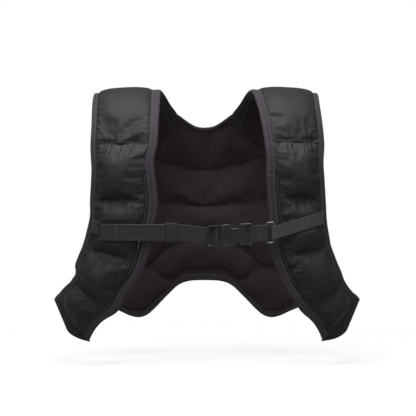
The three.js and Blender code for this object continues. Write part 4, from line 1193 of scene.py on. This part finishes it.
# The same thread in the quilting sinks into the cloth. Its darker colour is painted shade for the seam
# valleys.
shaded_quilting_thread = plain_finish("quilting thread with painted shade", "#0c0b0c", "#171517", 0.0006, (0.7, 0.2), 0.0001)
# Nylon coil, extruded and wound: black with a shine on each link
coil_nylon = plain_finish("black nylon zip coil", "#1a191b", "#2e2d30", 0.002, (0.35, 0.5), 0.00005)
# Polyester zip tape, woven close: dark grey and matt
zip_cloth = woven_finish("dark grey zip tape", "#1d1c1f", "#302e33", (0.001, 0.001),
                         (0.8, 0.2, 0.1), 0.0002, (0.01, 0.0005))
# Zinc casting, painted black and rubbed to a shine
slider_zinc = plain_finish("black painted zinc slider", "#29292b", "#46464a", 0.001, (0.3, 0.7), 0.00005)

for side, strap in STRAPS.items():
    tape_cells = []
    coil = []
    for k in range(1, ZIP_GRID):
        row = ZIP_ROWS[0] + (ZIP_ROWS[1] - ZIP_ROWS[0]) * k / ZIP_GRID
        width = strap.width(row)
        zip_width = strap.zip_width(row)
        line = []
        for step in ZIP_STEPS:
            place = strap.place(row, (BINDING_WIDTH + zip_width * step) / width)
            half = ZIP_TAPE_HALF * (ZIP_EDGE_SHARE if step in (0, 1) else 1)
            flat = (zip_width * step, k * ZIP_ROW_LENGTH)
            line.append((on_body(place), outward(place), half, half, flat, (0, 0)))
        tape_cells.append(line)
        middle = strap.place(row, (BINDING_WIDTH + zip_width / 2) / width)
        if zip_width == ZIP_WIDTH:
            coil.append((on_body(middle) + outward(middle) * ZIP_TAPE_HALF * COIL_LIFT, outward(middle)))
    tape = two_faces(f"zipper_{side}_tape", tape_cells, [zip_cloth])
    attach(tape, "root")
    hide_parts(f"zipper_{side}")
    beads(f"zipper_{side}_coil", [coil], COIL_PITCH, COIL_LINK, coil_nylon)

beads("binding_stitches", binding_paths, STITCH_PITCH, STITCH, sewing_thread)


def seam_path(places, rise):
    """A path on the outer face (rise above 0) or the inner one, over places on the body."""
    side = math.copysign(1, rise)
    return [(on_body(place) + outward(place) * rise, outward(place) * side) for place in places]


SEAM_STEPS = 40
quilting = []
for strap in STRAPS.values():
    for seam in strap.seams[1:-1]:
        across_seam = [strap.place(seam, strap.across(seam, k / SEAM_STEPS)) for k in range(SEAM_STEPS + 1)]
        quilting += [seam_path(across_seam, SEAM_HALF), seam_path(across_seam, -SEAM_HALF)]
for table in (SEAM_A, SEAM_B, SEAM_C, SEAM_D):
    across_seam = [seam_place(table, column) for column in COLUMNS[1:-1]]
    quilting += [seam_path(across_seam, SEAM_HALF), seam_path(across_seam, -SEAM_HALF)]
# The quilting stitches take the thread whose darker colour is painted shade
beads("quilting_stitches", quilting, STITCH_PITCH, STITCH, shaded_quilting_thread)

# Chest strap. Strips of webbing pass round the bars of the buckle and of the ring, and lie on the pillows at
# both ends, where lighter elastic tapes tie them to the armholes. A sleeve of webbing covers the left end.
KEEPER_WALL = 0.0015
RIGHT_TAIL = 0.0015
BUCKLE_BAR = 0.0036
BAR_THICKNESS = 0.003
MALE_BODY = 0.0029
FEMALE_LENGTH = 0.0434
FEMALE_BAR = 0.0049
TAPER = 0.004
SLOT_WIDTH = WEBBING_THICKNESS + 2 * GAP
SLOT_HEIGHT = WEBBING_WIDTH + 4 * GAP
BAR_RIGHT = JOINT - MALE_BODY - SLOT_WIDTH
BAR_LEFT = BAR_RIGHT - BUCKLE_BAR
FEMALE_RIGHT = JOINT + GAP + FEMALE_LENGTH
FEMALE_BAR_LEFT = FEMALE_RIGHT - FEMALE_BAR
BUCKLE_MIDDLE = WEBBING_THICKNESS / 2 + GAP + BAR_THICKNESS / 2
WRAP = BAR_THICKNESS / 2 + GAP + WEBBING_THICKNESS / 2
BESIDE = GAP + WEBBING_THICKNESS / 2
LAYER = (WEBBING_THICKNESS + GAP) / 2
WEB_GRID = 0.001
WAVE_HEIGHT = 0.0003
WAVES_PER_METRE = 60
# Shares across a strip, and how thick it is there: thin at its two selvedges
WEB_STEPS = (
    (0, 0.3), (0.012, 0.75), (0.035, 1), (0.08, 1.08), (0.13, 0.96), (0.3, 1), (0.5, 1), (0.7, 1),
    (0.87, 0.96), (0.92, 1.08), (0.965, 1), (0.988, 0.75), (1, 0.3),
)


def ahead(x, front):
    """A point of the strap's path, seen from above, a length in front of its middle."""
    return x, STRAP_Y - front


def rounded_off(points, passes=2):
    """Cuts the corners of a path."""
    for _ in range(passes):
        cut = [points[0]]
        for a, b in zip(points, points[1:]):
            cut += [mix(a, b, 0.25), mix(a, b, 0.75)]
        points = cut + [points[-1]]
    return points


def evened(points, spacing):
    """A path's points at an even spacing."""
    reach = lengths_along(points, math.dist)
    places = even_places(reach, int(reach[-1] / spacing))
    return [mix(points[j - 1], points[j], part) for j, part in places]


def web(node, path, level, width, thickness, material):
    """Makes one strip over its CAD node, from its path seen from above and the height of its middle."""
    points = evened(rounded_off(path), WEB_GRID)
    cells = []
    for index, (x, y) in enumerate(points):
        before, after = points[max(index - 1, 0)], points[min(index + 1, len(points) - 1)]
        out = Vector((after[1] - before[1], before[0] - after[0], 0)).normalized()
        spot = Vector((x * WAVES_PER_METRE, y * WAVES_PER_METRE, width * 1000))
        wave = WAVE_HEIGHT * noise.noise(spot)
        line = []
        for share, thick in WEB_STEPS:
            half = thickness / 2 * thick
            middle = Vector((x, y, level(x) + (0.5 - share) * width + wave))
            line.append((middle, out, half, half, (share * width, index * WEB_GRID), (0, 0)))
        cells.append(line)
    strip = two_faces(f"{node}_woven", cells, [material])
    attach(strip, "root")
    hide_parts(node)


# Polyester webbing, woven in ribs: near black, with a low shine on the ribs, which are drawn 1.8 mm apart
webbing_ribs = woven_finish("black ribbed polyester webbing", "#151416", "#2d2b2f", (0.0018, 0.0011),
                            (0.6, 0.3, 0.1), 0.0004, (0.01, 0.0004))
# Elastic tape, woven over rubber: mid grey, ribbed across every 1.2 mm
grey_elastic = woven_finish("grey woven elastic", "#2c2c2d", "#484849", (0.0012, 0.0012),
                            (0.75, 0.25, 0.15), 0.0003, (0.01, 0.0004))
# The keeper's elastic is darker and a little green
keeper_elastic = woven_finish("dark green grey elastic", "#1a1a18", "#2f2f2b", (0.0012, 0.0012),
                              (0.75, 0.25, 0.15), 0.0003, (0.01, 0.0004))
# Acetal, moulded with a fine spark finish: black, with sharp light lines on its rounded edges, which a clear
# coat over a duller body gives
moulded_acetal = plain_finish("black moulded acetal", "#0b0b0c", "#121214", 0.0008, (0.3, 0.5), 0.00003)
acetal_inputs = moulded_acetal.node_tree.nodes["Principled BSDF"].inputs
acetal_inputs["Coat Weight"].default_value = 1.0
acetal_inputs["Coat Roughness"].default_value = 0.12
acetal_inputs["Coat IOR"].default_value = 1.8

SLEEVE_PATH = SLEEVE_CREST + [(SLEEVE_END, STRAP_Y)]
web("strap_sleeve", SLEEVE_PATH, strap_level, WEBBING_WIDTH, SLEEVE_THICKNESS, webbing_ribs)
STRAP_START = SLEEVE_END + GAP
web("chest_strap_left", [
    ahead(STRAP_START, 0),
    ahead(BAR_LEFT - BESIDE, 0),
    ahead(BAR_LEFT - BESIDE, BUCKLE_MIDDLE + WRAP),
    ahead(BAR_RIGHT + BESIDE, BUCKLE_MIDDLE + WRAP),
    ahead(BAR_RIGHT + BESIDE, -2 * LAYER),
    ahead(KEEPER_END, -2 * LAYER),
], strap_level, WEBBING_WIDTH, WEBBING_THICKNESS, webbing_ribs)
SPAN_MIDDLE = (FEMALE_RIGHT + RING_LEFT) / 2
web("chest_strap_right", [
    ahead(SPAN_MIDDLE + RIGHT_TAIL, BUCKLE_MIDDLE - LAYER),
    ahead(FEMALE_RIGHT + TAPER, BUCKLE_MIDDLE - LAYER),
    ahead(FEMALE_RIGHT, BUCKLE_MIDDLE - WRAP),
    ahead(FEMALE_BAR_LEFT - BESIDE, BUCKLE_MIDDLE - WRAP),
    ahead(FEMALE_BAR_LEFT - BESIDE, BUCKLE_MIDDLE + WRAP),
    ahead(FEMALE_RIGHT, BUCKLE_MIDDLE + WRAP),
    ahead(FEMALE_RIGHT + TAPER, BUCKLE_MIDDLE + LAYER),
    ahead(RING_LEFT - TAPER, BUCKLE_MIDDLE + LAYER),
    ahead(RING_LEFT, BUCKLE_MIDDLE + WRAP),
    ahead(RING_LEFT + RING_BAR + BESIDE, BUCKLE_MIDDLE + WRAP),
    ahead(RING_LEFT + RING_BAR + BESIDE, BUCKLE_MIDDLE - WRAP),
    ahead(RING_LEFT, BUCKLE_MIDDLE - WRAP),
    ahead(RING_LEFT - TAPER / 2, BUCKLE_MIDDLE - LAYER - GAP),
], strap_level, WEBBING_WIDTH, WEBBING_THICKNESS, webbing_ribs)
TAPE_WRAP = BAR_THICKNESS / 2 + GAP + ELASTIC_THICKNESS / 2
TAPE_BESIDE = GAP + ELASTIC_THICKNESS / 2
web("anchor_tape_right", [
    ahead(RING_RIGHT + 2 * TAPER, BUCKLE_MIDDLE - TAPE_WRAP),
    ahead(RING_RIGHT - RING_BAR - TAPE_BESIDE, BUCKLE_MIDDLE - TAPE_WRAP),
    ahead(RING_RIGHT - RING_BAR - TAPE_BESIDE, BUCKLE_MIDDLE + TAPE_WRAP),
    ahead(RING_RIGHT + TAPER, BUCKLE_MIDDLE + TAPE_WRAP),
] + RIGHT_TAPE, right_tape_level, ANCHOR_WIDTH, ELASTIC_THICKNESS, grey_elastic)
web("anchor_tape_left", LEFT_TAPE, left_tape_level, ANCHOR_WIDTH, ELASTIC_THICKNESS, keeper_elastic)


def on_strip(path, x, thickness, z):
    """A point on the front of a strip, and the direction that it faces."""
    nearby = 0.002
    steepness = (path_y(path, x + nearby) - path_y(path, x - nearby)) / (2 * nearby)
    out = Vector((steepness, -1, 0)).normalized()
    return Vector((x, path_y(path, x), z)) + out * thickness / 2, out


# Thread on the strap: a ladder and three lines across the sleeve, two along it, and bar tacks on the right
LADDER_X = -0.1325
SLEEVE_LINES = (-0.1245, -0.1222, -0.0635)
SLEEVE_HALF = WEBBING_WIDTH * 0.44
LADDER_PITCH, LADDER_STITCH = 0.003, (0.0009, 0.0055, 0.0008)
SLEEVE_PITCH, SLEEVE_STITCH = 0.0028, (0.0023, 0.0007, 0.0006)
TACK_PITCH, TACK_STITCH = 0.0011, (0.0006, 0.0018, 0.0007)
upright = [STRAP_HEIGHT - SLEEVE_HALF + 2 * SLEEVE_HALF * k / 8 for k in range(9)]
beads("sleeve_ladder_stitches", [[on_strip(SLEEVE_PATH, LADDER_X, SLEEVE_THICKNESS, z) for z in upright]],
      LADDER_PITCH, LADDER_STITCH, sewing_thread)
sleeve_lines = [[on_strip(SLEEVE_PATH, x, SLEEVE_THICKNESS, z) for z in upright] for x in SLEEVE_LINES]
lengthwise = [SLEEVE_LINES[1] + (SLEEVE_LINES[2] - SLEEVE_LINES[1]) * k / 30 for k in range(31)]
for z in (STRAP_HEIGHT - SLEEVE_HALF, STRAP_HEIGHT + SLEEVE_HALF):
    sleeve_lines.append([on_strip(SLEEVE_PATH, x, SLEEVE_THICKNESS, z) for x in lengthwise])
beads("sleeve_stitches", sleeve_lines, SLEEVE_PITCH, SLEEVE_STITCH, sewing_thread)
TACKS = (0.0735, 0.0765, 0.0795)
tack_face = STRAP_Y - BUCKLE_MIDDLE - LAYER - WEBBING_THICKNESS / 2
tack_lines = []
for x in TACKS:
    sag = strap_level(x) - STRAP_HEIGHT
    tack_lines.append([(Vector((x, tack_face, z + sag)), Vector((0, -1, 0))) for z in upright])
beads("strap_bar_tacks", tack_lines, TACK_PITCH, TACK_STITCH, sewing_thread)

# Keeper, ring and buckle. The keeper is a closed loop of elastic round the strap. The ring and the two halves
# of the buckle are moulded, so their edges are rounded.
KEEPER_X = SLEEVE_END + GAP + KEEPER_LENGTH / 2
RING_X = (RING_LEFT + RING_RIGHT) / 2
RING_HALF_HEIGHT = SLOT_HEIGHT / 2 + RING_BAR / 2


def rounded_loop(half_u, half_v, radius, steps=6):
    """The points (u, v) of a rounded rectangle."""
    points = []
    for quarter, (side_u, side_v) in enumerate(((1, 1), (-1, 1), (-1, -1), (1, -1))):
        for k in range(steps + 1):
            angle = (quarter + k / steps) * math.pi / 2
            points.append((side_u * (half_u - radius) + radius * math.cos(angle),
                           side_v * (half_v - radius) + radius * math.sin(angle)))
    return points


def swept_loop(name, loop, section, seat, material):
    """Sweeps a closed section of (rise, side) round a closed loop. seat gives the point of (u, v, side)."""
    points = []
    flat = []
    along = 0
    for index, (u, v) in enumerate(loop):
        before, after = loop[index - 1], loop[(index + 1) % len(loop)]
        out = Vector((after[1] - before[1], before[0] - after[0])).normalized()
        along += math.dist(before, (u, v)) if index else 0
        for rise, side in section:
            points.append(seat(u + out.x * rise, v + out.y * rise, side))
            flat.append((side, along))
    ring = len(section)
    faces = []
    for i in range(len(loop)):
        k = (i + 1) % len(loop)
        for j in range(ring):
            m = (j + 1) % ring
            faces.append((i * ring + j, i * ring + m, k * ring + m, k * ring + j))
    made = closed_mesh(name, points, faces, {"cloth": flat})
    made.data.materials.append(material)
    return made


KEEPER_REACH = GAP + KEEPER_WALL / 2
KEEPER_CORNER = 0.0014
KEEPER_GRID = 0.0008
keeper_line = rounded_loop(WEBBING_THICKNESS / 2 + KEEPER_REACH, WEBBING_WIDTH / 2 + KEEPER_REACH,
                           KEEPER_CORNER)
keeper = swept_loop(
    "strap_keeper_elastic",
    evened(keeper_line, KEEPER_GRID)[:-1],
    rounded_loop(KEEPER_WALL / 2, KEEPER_LENGTH / 2, KEEPER_WALL * 0.45, 3),
    lambda u, v, side: (KEEPER_X + side, STRAP_Y + u, STRAP_HEIGHT + v),
    keeper_elastic,
)
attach(keeper, "root")
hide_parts("strap_keeper")

ring_piece = swept_loop(
    "square_ring_moulded",
    rounded_loop(RING_LENGTH / 2 - RING_BAR / 2, RING_HALF_HEIGHT, 0.002),
    rounded_loop(RING_BAR / 2, BAR_THICKNESS / 2, RING_BAR * 0.42, 4),
    lambda u, v, side: (RING_X + u, STRAP_Y - BUCKLE_MIDDLE + side, strap_level(RING_X + u) + v),
    moulded_acetal,
)
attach(ring_piece, "root")
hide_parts("square_ring")


def moulded(node, radius, material):
    """A copy of a moulded CAD part with its edges rounded."""
    made = add_object(f"{node}_moulded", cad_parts[node].data.copy())
    shape = bmesh.new()
    shape.from_mesh(made.data)
    bmesh.ops.remove_doubles(shape, verts=shape.verts, dist=1e-6)
    bmesh.ops.dissolve_limit(shape, angle_limit=math.radians(1), verts=shape.verts, edges=shape.edges)
    shape.to_mesh(made.data)
    shape.free()
    bevel = made.modifiers.new("rounded edges", "BEVEL")
    bevel.width = radius
    bevel.segments = 3
    bevel.limit_method = "ANGLE"
    bevel.angle_limit = math.radians(25)
    bake(made)
    made.data.shade_smooth()
    made.data.set_sharp_from_angle(angle=math.radians(35))
    made.data.materials.clear()
    made.data.materials.append(material)
    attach(made, "root")
    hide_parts(node)


moulded("buckle_male", 0.0009, moulded_acetal)
moulded("buckle_female", 0.0011, moulded_acetal)
moulded("zip_slider", 0.0005, slider_zinc)
